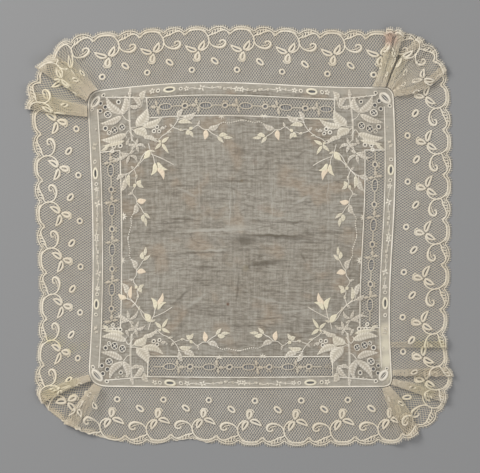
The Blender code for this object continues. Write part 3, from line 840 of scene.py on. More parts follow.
def slit_leaf_pad(base, tip, width, height=0.5, slit=0.5, slit_width=0.22, bend=0.0, pitch=0.7):
    """A leaf of two sides that part round a slit down its middle."""
    base, tip = np.array(base, float), np.array(tip, float)
    length = np.hypot(*(tip - base))
    axis = (tip - base) / length
    side = np.array((-axis[1], axis[0]))
    count = 2 * max(7, round(length / pitch))
    angle = np.linspace(0, 2 * np.pi, count, endpoint=False)
    share = (1 - np.cos(angle)) / 2
    full = np.clip(np.sin(np.pi * share ** 0.75), 0, 1) ** 0.75
    half = 0.5 * width * full * np.sign(np.sin(angle) + 1e-9)
    hole_share = 0.5 + (share - 0.5) * slit - 0.04
    hole_half = 0.5 * width * slit_width * np.sin(angle)

    def placed(along, across):
        bow = bend * length * np.sin(np.pi * along)
        return base + along[:, None] * length * axis + (across + bow)[:, None] * side

    return ring_pad(placed(share, half), placed(hole_share, hole_half), height)


def pad_piece(name, pads, lay, material, tints=None):
    """Lays pads drawn flat on the cloth and makes one piece of them, each with its own tint."""
    starts = np.cumsum([0] + [len(pad.points) for pad in pads])
    points = lay(np.concatenate([pad.points for pad in pads]))
    faces = np.concatenate([pad.faces + start for pad, start in zip(pads, starts)])
    piece = mesh_piece(name, points, faces, material)
    if tints is not None:
        tint = piece.data.attributes.new("tint", "FLOAT", "POINT")
        tint.data.foreach_set("value", np.repeat(tints, [len(pad.points) for pad in pads]))
    # The painted shade of each pad's grooves and outline, which the thread material reads.
    groove = piece.data.attributes.new("groove", "FLOAT", "POINT")
    groove.data.foreach_set("value", np.concatenate([pad.groove for pad in pads]))
    shape = bmesh.new()
    shape.from_mesh(piece.data)
    bmesh.ops.remove_doubles(shape, verts=shape.verts, dist=0.002 * MM)
    bmesh.ops.recalc_face_normals(shape, faces=shape.faces)
    shape.to_mesh(piece.data)
    shape.free()
    piece.data.polygons.foreach_set("use_smooth", [True] * len(piece.data.polygons))
    return piece


def thread_material(name, fresh, aged, shade, relief, tinted=None):
    """Cotton thread, yellowed in patches, painted shade in its twist and pad grooves; tinted adds to that.
    """
    material, shader = new_material(name, 0.72, 0.3)
    tree = material.node_tree
    age = use_group(tree, COTTON_AGE, Patch_Size=0.05, Blotch_Size=0.009)
    spun = use_group(tree, SPUN_COTTON, Twist_Size=0.0005)
    # groove darkens the grooves and outlines of worked pads: painted shade.
    groove = node(tree, "ShaderNodeAttribute", {"attribute_name": "groove"}).outputs["Fac"]
    colour = mixed(tree, age["Yellowing"], fresh, aged, 0.8)
    for hollow, strength in ((spun["Shade"], 0.25), (age["Shade"], 0.3), (groove, 0.75)):
        colour = mixed(tree, hollow, colour, shade, strength)
    if tinted:
        colour = tinted(tree, colour)
    plug(tree, shader.inputs["Base Color"], colour)
    bumped(tree, shader, spun["Height"], relief)
    return material


# The lace edging
# One length of machine-made net lace, about 1.3 m long and 41 mm deep, with scalloped corded motifs. It is
# whipped flat to the lawn's edge and folded over itself in pleats at the four corners.
LACE_WIDTH = 41.0
REPEAT_LENGTH = 32.6
REPEATS = 40
SEAM_GAP = 0.3
LAYER_RISE = 1.4
TURN_RADIUS = 0.3
TURN_LIFT = 0.35
SCALLOP_DEPTH = 3.2
STRAIGHT_ONCE_TURNED = 2.0
SCALLOP_CUSPS = (-0.305, 0.235, 0.695)
COLUMN_STEP = 0.8
FOLD_STEPS = 6
FACE_REACH = 0.25
# The small gathers that the pleats are crushed into: how deep, and how many to a repeat of the pattern.
GATHER_DEPTH = 0.42
GATHERS = 8.0

# Lace along a side: the share of the side that it is sewn at, where its scallops reach, and how much
# of its edge is turned under there.
SideRow = namedtuple("SideRow", "share out_x out_y turned", defaults=(0,))
# Lace at a corner: how far from the corner's middle it is sewn, clockwise; where its scallops reach; how
# much is turned under; the layers it arrives and leaves on; its crease's bow; and the next panel's puff.
Fold = namedtuple("Fold", "along out_x out_y turned arrives leaves bow puff", defaults=(0,) * 5)

TOP_LACE = (
    SideRow(0.080, -90.7, 145.6), SideRow(0.250, -53.0, 148.6), SideRow(0.500, 1.0, 150.0),
    SideRow(0.750, 55.0, 147.3), SideRow(0.850, 76.0, 147.0),
)
TOP_RIGHT_LACE = (
    Fold(-18.0, 91.7, 146.6),
    Fold(-10.2, 109.1, 146.6, 0, 0, 1, 1.2),
    Fold(-12.8, 105.4, 147.8, 0, 1, 2, 2.2, 1.2),
    Fold(-9.0, 111.6, 149.4, 0, 2, 2, 1.2, 0.6),
    Fold(-5.0, 117.2, 144.8, 0, 2, 1),
    Fold(-6.4, 113.4, 145.4, 0, 1, 0, 0.3),
    Fold(-3.6, 123.4, 143.6, 0, 0, 0, -1.0),
    Fold(-1.2, 131.4, 140.0, 0, 0, 1, -1.4),
    Fold(-2.2, 127.9, 141.6, 0, 1, 2, -2.8, 0.5),
    Fold(0.0, 132.8, 139.4, 0, 2, 2, -1.0),
    Fold(0.8, 139.2, 134.0, 0, 1, 1, 0.6),
    Fold(1.8, 143.8, 126.4, 0, 2, 2, 2.4),
    Fold(4.6, 147.4, 118.4, 0, 2, 1, 4.6),
    Fold(2.6, 145.8, 122.2, 0, 1, 0, 3.4),
    Fold(3.8, 148.8, 111.0, 0, 0, 0, 1.6),
    Fold(7.4, 149.9, 101.8),
)
RIGHT_LACE = (
    SideRow(0.100, 151.0, 81.0), SideRow(0.250, 151.4, 50.9), SideRow(0.500, 150.6, -1.1),
    SideRow(0.700, 149.9, -42.7),
)
BOTTOM_RIGHT_LACE = (
    Fold(-39.0, 148.4, -66.0),
    Fold(-31.4, 148.0, -73.4, 0, 2, 2),
    Fold(-27.6, 147.4, -78.4, 0, 2, 1),
    Fold(-30.0, 147.6, -75.2, 0, 1),
    Fold(-23.5, 148.4, -82.3),
    Fold(-16.0, 148.8, -85.4),
    Fold(-11.2, 150.0, -91.2, 0, 2, 2),
    Fold(-7.4, 152.2, -98.8, 0, 2, 1),
    Fold(-9.6, 150.6, -93.4, 0, 1),
    Fold(-5.4, 151.8, -102.2),
    Fold(-4.4, 150.2, -108.4, 0, 2, 2),
    Fold(-1.2, 147.0, -117.8, 0, 2, 1),
    Fold(-3.2, 148.8, -112.0, 0, 1),
    Fold(-0.2, 144.9, -124.2),
    Fold(1.4, 139.3, -131.8, 0, 0, 0, -0.8),
    Fold(4.4, 120.6, -144.2, 0, 0, 1, 1.6),
    Fold(1.6, 127.0, -141.0, 0, 1, 2, -2.8, 0.8),
    Fold(3.8, 118.8, -145.6, 0, 2, 2),
    Fold(6.4, 113.6, -147.4, 0, 2, 2),
    Fold(9.0, 105.6, -148.0),
)
BOTTOM_LACE = (
    SideRow(0.120, 82.0, -148.9), SideRow(0.300, 44.0, -149.7), SideRow(0.500, 1.6, -149.0),
    SideRow(0.600, -19.6, -147.0, 0.5), SideRow(0.660, -32.4, -143.8, 3.5),
    SideRow(0.730, -47.3, -145.4, 1.5), SideRow(0.790, -60.0, -148.0), SideRow(0.840, -70.5, -148.4),
)
BOTTOM_LEFT_LACE = (
    Fold(-26.0, -78.5, -147.2, 0.5),
    Fold(-19.0, -87.4, -144.7, 3.0),
    Fold(-11.5, -98.6, -142.3, 4.0),
    Fold(-7.0, -110.4, -138.6, 4.5, 2, 2),
    Fold(-1.8, -123.7, -133.3, 5.0, 2, 1, 0.8),
    Fold(-5.2, -116.2, -135.4, 5.0, 1),
    Fold(-0.4, -128.4, -129.2, 5.0),
    Fold(1.0, -135.0, -123.4, 4.5),
    Fold(4.8, -142.6, -112.4, 1.4, 0, 1, 0.8),
    Fold(2.2, -140.0, -118.1, 3.0, 1, 2, 1.2, 0.4),
    Fold(6.0, -143.6, -110.6, 1.0, 2, 2, 0.6),
    Fold(8.4, -144.9, -104.8, 0.4),
    Fold(10.6, -145.2, -100.2),
)
LEFT_LACE = (
    SideRow(0.120, -143.2, -78.6), SideRow(0.300, -142.2, -41.0), SideRow(0.500, -144.0, 0.5),
    SideRow(0.700, -146.0, 42.0),
)
TOP_LEFT_LACE = (
    Fold(-24.0, -147.3, 76.9),
    Fold(-9.4, -149.8, 102.8, 0, 0, 1),
    Fold(-15.0, -151.9, 91.2, 0, 1, 2, -0.4, 1.6),
    Fold(-8.0, -150.6, 105.0, 0, 2, 2),
    Fold(-6.6, -149.4, 108.9),
    Fold(-5.9, -146.6, 112.8),
    Fold(5.2, -134.2, 129.2, 0, 0, 1, 2.2),
    Fold(-3.0, -143.2, 121.4, 0, 1, 4, 0, 0.6),
    Fold(2.6, -133.0, 128.0, 0, 4, 3),
    Fold(0.6, -137.6, 125.6, 0, 3, 2),
    Fold(6.8, -126.5, 138.2, 0, 2, 2),
    Fold(10.0, -117.5, 143.0),
    Fold(12.2, -108.0, 144.5),
)
# The edging clockwise from the top side: its corner or side, and the pattern repeats that it holds.
Run = namedtuple("Run", "rows corner repeats")
RUNS = (
    Run(TOP_LACE, 0, 5.677), Run(TOP_RIGHT_LACE, 1, 4.766), Run(RIGHT_LACE, 1, 4.61),
    Run(BOTTOM_RIGHT_LACE, 2, 5.59), Run(BOTTOM_LACE, 2, 4.91), Run(BOTTOM_LEFT_LACE, 3, 4.46),
    Run(LEFT_LACE, 3, 4.73), Run(TOP_LEFT_LACE, 4, 5.257),
)
FIRST_REPEAT = 0.077
Station = namedtuple("Station", "at out_x out_y turned arrives leaves bow puff")
Column = namedtuple("Column", "base_x base_y out_x out_y turned bow level puff gather")


def station_of(row, corner):
    if isinstance(row, SideRow):
        at = lerp(CORNER_PLACES[corner], CORNER_PLACES[corner + 1], row.share)
        return Station(at, row.out_x, row.out_y, row.turned, 0, 0, 0, 0)
    return Station(CORNER_PLACES[corner] + row.along, *row[1:])


def tip(station):
    return np.array((station.out_x, station.out_y))


def is_fold(station):
    return station.arrives != station.leaves


def smooth_tip(before, start, end, after, share):
    """The scallops' reach between two stations, curved where no fold breaks the lace."""
    chord = tip(end) - tip(start)
    length = np.hypot(*chord)
    leaving = chord if is_fold(start) else (tip(end) - tip(before)) / 2
    arriving = chord if is_fold(end) else (tip(after) - tip(start)) / 2
    leaving, arriving = [way / np.hypot(*way) * length for way in (leaving, arriving)]
    s2, s3 = share ** 2, share ** 3
    curve = tip(start) * (2 * s3 - 3 * s2 + 1) + leaving * (s3 - 2 * s2 + share)
    return curve + tip(end) * (3 * s2 - 2 * s3) + arriving * (s3 - s2)


def panel_columns(before, start, end, after):
    """Columns across the flat panel between two stations."""
    steps = max(2, round(np.hypot(*(tip(end) - tip(start))) / COLUMN_STEP))
    is_gathered = float(start.leaves > 0 and end.arrives > 0)
    columns = []
    for share in np.linspace(0, 1, steps + 1):
        sewn = edge_at(np.array([lerp(start.at, end.at, share)]), SEAM_GAP)[0]
        out = smooth_tip(before, start, end, after, share)
        turned_under, bow = lerp(start.turned, end.turned, share), lerp(start.bow, end.bow, share)
        level = lerp(start.leaves, end.arrives, share * share * (3 - 2 * share))
        puff = start.puff * math.sin(math.pi * share)
        columns.append(Column(*sewn, *out, turned_under, bow, level, puff, is_gathered))
    return columns


def fold_columns(last, before, fold):
    """Columns that turn the lace from one layer to the next."""
    radius = LAYER_RISE * (fold.leaves - fold.arrives) / 2
    ends = np.array((last[:2], last[2:4]))
    ways = ends - np.array((before[:2], before[2:4]))
    ways /= np.hypot(*ways.T)[:, None]
    columns = []
    for step in range(1, FOLD_STEPS):
        angle = math.pi * step / FOLD_STEPS
        level = lerp(fold.arrives, fold.leaves, (1 - math.cos(angle)) / 2)
        base, out = ends + ways * abs(radius) * math.sin(angle)
        columns.append(Column(*base, *out, fold.turned, fold.bow, level, 0.0, 0.0))
    return columns


def lace_columns():
    """Every column of the closed edging in order, each with its place in the pattern."""
    stations, pins, side_stations, repeat = [], [], [], FIRST_REPEAT
    for run in RUNS:
        pins.append((len(stations), repeat))
        if isinstance(run.rows[0], SideRow):
            side_stations += range(len(stations), len(stations) + len(run.rows))
        stations += [station_of(row, run.corner) for row in run.rows]
        repeat += run.repeats
    count = len(stations)
    pins.append((count, repeat))
    turn = EDGE_LENGTHS[-1]

    def station(number):
        found = stations[number % count]
        return found._replace(at=found.at + turn * (number // count))

    columns, first_of, pleated, on_side = [], [], [], []
    for number in range(count):
        before, start, end, after = [station(number + step) for step in (-1, 0, 1, 2)]
        first_of.append(len(columns))
        panel = panel_columns(before, start, end, after)
        columns += panel[:-1]
        pleated += [start.leaves > 0 and end.arrives > 0] * (len(panel) - 1)
        on_side += [number in side_stations and (number + 1) % count in side_stations] * (len(panel) - 1)
        if is_fold(end):
            turning = [panel[-1]] + fold_columns(panel[-1], panel[0], end)
            columns += turning
            pleated += [True] * len(turning)
            on_side += [False] * len(turning)
    first_of.append(len(columns))
    columns.append(columns[0])
    columns = np.array(columns)
    steps = np.hypot(*np.diff(columns[:, 2:4], axis=0).T)
    arcs = np.abs(np.diff(columns[:, 6])) * LAYER_RISE
    lengths = np.concatenate(([0.0], np.cumsum(np.hypot(steps, arcs))))
    marks = [lengths[first_of[number]] for number, repeat in pins]
    repeats = np.interp(lengths, marks, [repeat for number, repeat in pins])
    return columns, repeats, sewn_repeats(columns, repeats, np.array(pleated), np.array(on_side))


def sewn_repeats(columns, repeats, pleated, on_side):
    """The pattern's places at the sewn edge: as at the scallops on a side, even where the lace lies single
    at a corner, and crowded in the pleats, which hold what is over."""
    held = np.diff(repeats)
    scallops = np.hypot(*np.diff(columns[:, 2:4], axis=0).T)
    sewn_edge = np.hypot(*np.diff(columns[:, :2], axis=0).T)
    even = held * np.clip(sewn_edge / np.maximum(scallops, 1e-6), 0.02, 3.0)
    sewn = np.where(pleated | on_side, held, even)
    starts = np.flatnonzero(pleated & ~np.roll(pleated, 1))
    ends = np.flatnonzero(pleated & ~np.roll(pleated, -1)) + 1
    halfway = (repeats[ends[:-1]] + repeats[starts[1:]]) / 2
    limits = np.concatenate((repeats[:1], halfway, repeats[-1:]))
    for start, end, low, high in zip(starts, ends, limits, limits[1:]):
        near = (repeats[:-1] >= low) & (repeats[:-1] < high)
        sewn[start:end] = held[start:end] * (1 + (held - sewn)[near].sum() / held[start:end].sum())
    return repeats[0] + np.concatenate(([0.0], np.cumsum(sewn)))


LACE_COLUMNS, SCALLOP_REPEATS, SEWN_REPEATS = lace_columns()


def lace_surface(along, inward):
    """The lace's middle at places along it and distances in from its scallops."""
    repeat = np.mod(along / REPEAT_LENGTH - FIRST_REPEAT, REPEATS) + FIRST_REPEAT
    deep = inward / LACE_WIDTH

    def held(number):
        return lerp(SCALLOP_REPEATS[number], SEWN_REPEATS[number], deep)

    low, high = np.zeros(repeat.shape, int), np.full(repeat.shape, len(LACE_COLUMNS) - 1)
    while np.any(high - low > 1):
        middle = (low + high) // 2
        beyond = held(middle) <= repeat
        low, high = np.where(beyond, middle, low), np.where(beyond, high, middle)
    past = np.clip((repeat - held(low)) / np.maximum(held(high) - held(low), 1e-9), 0, 1)
    column = Column(*lerp(LACE_COLUMNS[low], LACE_COLUMNS[high], past[..., None]).T)
    line_x, line_y = column.out_x - column.base_x, column.out_y - column.base_y
    reach = np.hypot(line_x, line_y)
    placed = (reach + column.turned) * (1 - inward / LACE_WIDTH)
    past = np.maximum(placed - reach, 0)
    angle = np.minimum(past / TURN_RADIUS, np.pi)
    share = (np.minimum(placed, reach) + TURN_RADIUS * np.sin(angle)
             - np.maximum(past - np.pi * TURN_RADIUS, 0)) / reach
    bow = column.bow * 4 * share * (1 - share) / reach
    rise = CLOTH_MIDDLE + column.level * LAYER_RISE + column.puff * (0.35 + 0.65 * share)
    rise += TURN_LIFT * np.clip(column.turned / STRAIGHT_ONCE_TURNED, 0, 1) * share
    rise -= TURN_RADIUS * (1 - np.cos(angle))
    wander = 1.6 * np.sin(inward / 4.1 + repeat * 3.0) + 0.9 * np.sin(inward / 2.3 - repeat * 7.0)
    rise += GATHER_DEPTH * column.gather * np.sin(2 * np.pi * repeat * GATHERS + wander)
    return np.stack((column.base_x + line_x * share + line_y * bow,
                     column.base_y + line_y * share - line_x * bow, rise), -1)


def on_edging(points):
    """Lays points drawn flat, as along, inward and height, on the folded lace."""
    along, inward, height = points.T
    reach = FACE_REACH
    forward = lace_surface(along + reach, inward) - lace_surface(along - reach, inward)
    outward = lace_surface(along, inward - reach) - lace_surface(along, inward + reach)
    face = np.cross(forward, outward)
    face /= np.maximum(np.linalg.norm(face, axis=-1, keepdims=True), 1e-9)
    return lace_surface(along, inward) + face * height[:, None]


def scallop_dip(along):
    """How far the lace's edge falls back at a place along it."""
    place = np.mod(along / REPEAT_LENGTH - SCALLOP_CUSPS[0], 1.0) + SCALLOP_CUSPS[0]
    wide = place < SCALLOP_CUSPS[1]
    low, high = [np.where(wide, *ends) for ends in zip(SCALLOP_CUSPS[:2], SCALLOP_CUSPS[1:])]
    return SCALLOP_DEPTH * np.abs(2 * (place - low) / (high - low) - 1) ** 2.4


# One repeat of the pattern: places along it from its bell flower, and inward from the scallops' tips. A
# cord's points also have how thick it is there.
NET_MESHES = 680
NET_ROWS = 30
NET_RADIUS = 0.145
NET_WEAVE = 0.08
CORD_HEIGHT = 0.12
CORD_RADIUS = 0.378
EDGE_CORD_INSET = 1.0
# The scalloped edge's two cords: how far in each lies, and how thick it is beside the others.
EDGE_LINES = ((EDGE_CORD_INSET, 0.95), (2.5, 0.6))
Oval = namedtuple("Oval", "along inward length width hole_length hole_width turn")
LACE_RINGS = (
    Oval(12.2, 26.0, 7.2, 4.7, 3.4, 1.0, 0.675),
    Oval(-4.3, 32.3, 5.1, 4.9, 1.8, 1.8, 0.0),
)
Leaf = namedtuple("Leaf", "base tip width bend slit")
LACE_LEAVES = (
    Leaf((-0.4, 18.4), (-9.6, 14.0), 4.6, -0.10, 0.55),
    Leaf((0.3, 18.0), (4.6, 10.4), 4.9, 0.08, 0.5),
    Leaf((-1.1, 25.8), (0.5, 18.4), 5.4, 0.0, 0.45),
)
LEAF_SLIT = 0.12
LACE_CORDS = (
    ((-9.7, 6.5, 1.0), (-6.9, 4.1, 1.3), (-3.8, 3.0, 1.4), (-0.6, 2.9, 1.4), (2.7, 3.4, 1.4),
     (5.1, 5.0, 1.4), (6.9, 7.5, 1.4), (7.8, 10.4, 1.4), (7.7, 13.2, 1.4), (6.4, 15.8, 1.5),
     (4.2, 17.5, 1.6), (1.8, 18.3, 1.2)),
    ((7.2, 8.2, 1.2), (8.8, 6.8, 1.4), (11.8, 6.1, 1.4), (15.2, 4.3, 1.4), (18.7, 3.4, 1.4),
     (21.2, 4.6, 1.3), (22.7, 6.8, 1.0)),
    ((7.9, 11.0, 1.2), (9.0, 13.4, 1.4), (11.2, 15.1, 1.5), (13.6, 15.9, 1.9), (16.4, 16.1, 2.4),
     (18.7, 15.0, 2.6), (19.9, 13.0, 2.3), (19.3, 11.3, 1.9), (17.5, 10.7, 1.5), (15.9, 11.4, 1.3),
     (15.6, 12.6, 1.1)), ((9.9, 6.6, 1.1), (10.6, 4.3, 1.1)), ((12.0, 6.0, 1.1), (12.4, 3.0, 1.1)),
    ((14.2, 4.8, 1.1), (14.4, 2.2, 1.1)), ((16.2, 3.9, 1.1), (16.4, 1.6, 1.1)),
    ((-9.4, 5.2, 0.6), (-5.0, 2.4, 0.6), (-0.6, 1.9, 0.6), (3.6, 2.6, 0.6), (7.0, 5.2, 0.6)),
    ((-3.6, 23.6, 0.9), (-2.9, 25.4, 1.1), (-1.1, 26.0, 1.1), (0.9, 25.6, 1.1), (1.9, 24.2, 0.9)),
    ((13.2, 14.6, 0.7), (16.2, 13.9, 0.9), (18.4, 12.6, 0.7)),
)


def inside_motifs(along, inward):
    """Below zero inside a ring or a leaf of the pattern, or past the scallops."""
    away = inward - scallop_dip(along) - EDGE_CORD_INSET
    shapes = list(LACE_RINGS)
    for leaf in LACE_LEAVES[:2]:
        (x1, y1), (x2, y2) = leaf.base, leaf.tip
        length, turn = math.hypot(x2 - x1, y2 - y1), math.atan2(y2 - y1, x2 - x1)
        shapes.append(Oval((x1 + x2) / 2, (y1 + y2) / 2, 0.85 * length, 0.8 * leaf.width, 0, 0, turn))
    for shape in shapes:
        x = np.mod(along - shape.along + REPEAT_LENGTH / 2, REPEAT_LENGTH) - REPEAT_LENGTH / 2
        x, y = turned(x, inward - shape.inward, -shape.turn)
        spread = np.hypot(x / (0.5 * shape.length), y / (0.5 * shape.width))
        away = np.minimum(away, (spread - 0.85) * 0.5 * shape.width)
    return away


def clipped(points, edges, clearance):
    """Cuts the threads where the clearance falls below zero, each at its own crossing."""
    from_end, to_end = clearance[edges[:, 0]], clearance[edges[:, 1]]
    whole = edges[(from_end > 0) & (to_end > 0)]
    crossing = (from_end > 0) != (to_end > 0)
    cut, a, b = edges[crossing], from_end[crossing], to_end[crossing]
    inner = np.where(a > 0, cut[:, 0], cut[:, 1])
    share = (a / (a - b))[:, None]
    ends = lerp(points[cut[:, 0]], points[cut[:, 1]], share)
    extra = np.stack((inner, np.arange(len(ends)) + len(points)), -1)
    edges = np.concatenate((whole, extra))
    used, renumbered = np.unique(edges, return_inverse=True)
    return np.concatenate((points, ends))[used], renumbered.reshape(-1, 2)


Net = namedtuple("Net", "first last pitch rows row_step bottom")


def net_threads(net, slant):
    """Straight threads of one family of a diamond net, woven over and under the other family."""
    start = np.arange(net.first, net.last)[:, None] * net.pitch
    row = np.arange(net.rows + 1)[None, :]
    along = start + slant * row * net.pitch / 2
    across = row * net.row_step + net.bottom
    height = np.where(row % 2 == 0, 1, -1) * slant * NET_WEAVE
    points = np.stack(np.broadcast_arrays(along, across, height), -1).reshape(-1, 3)
    index = np.arange(len(points)).reshape(-1, net.rows + 1)
    edges = np.stack((index[:, :-1], index[:, 1:]), -1).reshape(-1, 2)
    return points.astype(float), edges


def net_parts(name, net, clearance, lay, material, radius):
    """Both families of a net's threads, cut where their clearance ends, and laid in place."""
    parts = []
    for slant in (1, -1):
        points, edges = net_threads(net, slant)
        points, edges = clipped(points, edges, clearance(points[:, 0], points[:, 1]))
        parts.append(worked_net(name + "_threads", lay(points), edges, THREAD, material,
                                Radius=radius * MM, Sides=4, Flatness=0.9))
    return parts


def cord_path(cord, start):
    """A cord's path in the repeat that starts there, and how thick it is along it."""
    path = curve_through(cord)
    return at_height(path + (start, 0, 0), CORD_HEIGHT), path[:, 2]


def moved(leaf, start):
    """A leaf in the repeat that starts there."""
    (base_x, base_y), (tip_x, tip_y) = leaf.base, leaf.tip
    return leaf._replace(base=(base_x + start, base_y), tip=(tip_x + start, tip_y))


NET_COLOUR = (0.80, 0.715, 0.565)
NET_AGED = (0.74, 0.63, 0.455)
NET_SHADE = (0.56, 0.475, 0.35)
# Where the edging has yellowed along a crease or in a pleat, and a rusty patch on one pleat.
EDGING_STAINS = (
    Stain(107.5, 140.0, 7.5, 0.75, 0.60, 0.40, 0.30), Stain(-134.0, -73.2, 5.5, 0.6, 0.74, 0.64, 0.36),
    Stain(-126.0, -75.5, 5.5, 0.6, 0.74, 0.64, 0.36), Stain(-118.0, -79.5, 5.5, 0.6, 0.74, 0.64, 0.36),
    Stain(-110.5, -78.0, 4.5, 0.5, 0.74, 0.64, 0.36), Stain(130.8, -76.0, 10.0, 0.5, 0.68, 0.61, 0.38),
    Stain(142.0, -77.0, 8.0, 0.5, 0.68, 0.61, 0.38), Stain(130.0, -110.0, 14.0, 0.45, 0.70, 0.62, 0.40),
    Stain(-122.0, -106.0, 13.0, 0.5, 0.78, 0.68, 0.43), Stain(-134.0, -111.0, 9.0, 0.5, 0.78, 0.68, 0.43),
    Stain(-130.0, 97.0, 22.0, 0.45, 0.78, 0.70, 0.47), Stain(-121.0, 115.0, 18.0, 0.4, 0.78, 0.70, 0.47),
    Stain(108.0, 122.0, 16.0, 0.35, 0.72, 0.64, 0.42), Stain(118.0, -122.0, 14.0, 0.35, 0.76, 0.68, 0.47),
)


def edging_stains(tree, colour):
    place = node(tree, "ShaderNodeTexCoord").outputs["Object"]
    plan = node(tree, "ShaderNodeMapping", Vector=place, Scale=(1 / MM, 1 / MM, 0.0))
    return stained(tree, colour, plan.outputs["Vector"], EDGING_STAINS)


lace_thread = thread_material("edging_thread", NET_COLOUR, NET_AGED, NET_SHADE, 0.0001, edging_stains)
CORD_COLOUR = (0.83, 0.755, 0.615)
CORD_AGED = (0.77, 0.67, 0.505)
CORD_SHADE = (0.53, 0.455, 0.335)
lace_cord = thread_material("edging_cord", CORD_COLOUR, CORD_AGED, CORD_SHADE, 0.00015, edging_stains)

PICOT_PITCH = REPEAT_LENGTH / 20
PICOT_REACH = 1.7
PICOT_WIDTH = 0.6
PICOT_RADIUS = 0.19


def picot_paths(along):
    """Tiny loops that stand out from the edge cord."""
    angle = np.linspace(-0.2, math.pi + 0.2, 6)
    root = scallop_dip(along)[:, None] + EDGE_CORD_INSET - 0.35
    x = along[:, None] + 0.5 * PICOT_WIDTH * np.cos(angle)
    y = root - PICOT_REACH * np.sin(angle)
    return list(np.stack((x, y, np.full(x.shape, 0.05)), -1))


def edging_side(name, first, last):
    """The part of the edging between two repeats: net, motifs, cords and picots."""
    ends = [round(repeat * NET_MESHES / REPEATS) for repeat in (first, last)]
    net = Net(*ends, REPEATS * REPEAT_LENGTH / NET_MESHES, NET_ROWS, LACE_WIDTH / NET_ROWS, 0.0)
    parts = net_parts(name, net, inside_motifs, on_edging, lace_thread, NET_RADIUS)
    starts = np.arange(first, last) * REPEAT_LENGTH
    cords = [cord_path(cord, start) for start in starts for cord in LACE_CORDS]
    edge = np.arange(first * REPEAT_LENGTH, last * REPEAT_LENGTH + 0.5, 1.0)
    for inset, swell in EDGE_LINES:
        line = np.column_stack((edge, scallop_dip(edge) + inset))
        cords.append((at_height(line, CORD_HEIGHT), np.full(len(edge), swell)))
    paths, swells = zip(*cords)
    parts.append(worked(name + "_cords", [on_edging(path) for path in paths], THREAD, lace_cord, swells,
                        Radius=CORD_RADIUS * MM, Sides=6, Flatness=0.7))
    picots = picot_paths(np.arange(first * REPEAT_LENGTH, last * REPEAT_LENGTH, PICOT_PITCH))
    parts.append(worked(name + "_picots", [on_edging(path) for path in picots], THREAD, lace_cord,
                        Radius=PICOT_RADIUS * MM, Sides=3, Flatness=1.0))
    pads = []
    for start in starts:
        for base, tip, width, bend, slit in [moved(leaf, start) for leaf in LACE_LEAVES]:
            pads.append(slit_leaf_pad(base, tip, width, height=0.4, slit=slit, slit_width=LEAF_SLIT,
                                      bend=bend, pitch=0.9))
        for ring in LACE_RINGS:
            pads.append(eyelet_pad(ring.along + start, *ring[1:], height=0.45, pitch=0.8))
    parts.append(pad_piece(name + "_pads", pads, on_edging, lace_cord))
    return joined(name + "_lace", parts)


SIDE_STARTS = (0, 10, 20, 30, 40)
SIDE_NAMES = ("edging_top", "edging_right", "edging_bottom", "edging_left")
for side_name, first, last in zip(SIDE_NAMES, SIDE_STARTS, SIDE_STARTS[1:]):
    side = edging_side(side_name, first, last)
    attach(side, "root")
    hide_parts("lace_edging")


# The four insertions
# Strips of the same net let into the lawn's slots, with a corded chain of crosses, long rings and round
# rings down the middle. They have yellowed more than the edging has.
INSERTION_REPEAT = 28.1
INSERTION_PITCH = 1.96
INSERTION_MESH = 2.7
CHAIN_NET_RADIUS = 0.185
CHAIN_CORD_RADIUS = 0.42
# A motif nearer than this to the strip's end is left out.
END_MARGIN = 0.3
CHAIN_LEAVES = (
    Leaf((-0.2, 0.8), (-0.6, 5.4), 2.1, 0.05, 0),
    Leaf((0.2, -0.8), (0.6, -5.4), 2.2, 0.05, 0),
    Leaf((-0.6, 0.1), (-4.8, 0.5), 2.6, 0, 0),
    Leaf((21.4, 0.0), (24.0, 0.2), 1.3, 0, 0),
    Leaf((19.0, 2.0), (18.4, 4.0), 1.2, 0, 0),
    Leaf((20.4, 1.9), (21.2, 3.7), 1.2, 0, 0),
)
CHAIN_RINGS = (Oval(5.8, 0.0, 9.6, 5.0, 7.4, 3.3, 0.0), Oval(19.4, 0.0, 5.2, 4.4, 2.4, 1.8, 0.3))
CHAIN_CORDS = (
    ((-0.9, 1.0, 1.0), (0.0, 0.2, 1.0), (1.0, -1.0, 1.0)),
    ((10.2, 0.0, 0.9), (13.2, 0.2, 0.8), (16.9, 0.0, 0.9)), ((4.0, 1.2, 0.5), (4.4, -1.2, 0.5)),
    ((5.6, 1.5, 0.5), (6.0, -1.5, 0.5)), ((7.2, 1.3, 0.5), (7.5, -1.3, 0.5)),
)
Insertion = namedtuple("Insertion", "slot turn cross")
INSERTIONS = (
    Insertion(SLOTS[0], 0.0, -2.4), Insertion(SLOTS[1], -math.pi / 2, 12.6),
    Insertion(SLOTS[2], math.pi, 16.2), Insertion(SLOTS[3], -math.pi / 2, 1.2),
)
CHAIN_COLOUR = (0.73, 0.66, 0.525)
CHAIN_AGED = (0.61, 0.52, 0.385)
CHAIN_SHADE = (0.38, 0.315, 0.235)
chain_thread = thread_material("insertion_thread", CHAIN_COLOUR, CHAIN_AGED, CHAIN_SHADE, 0.0001)


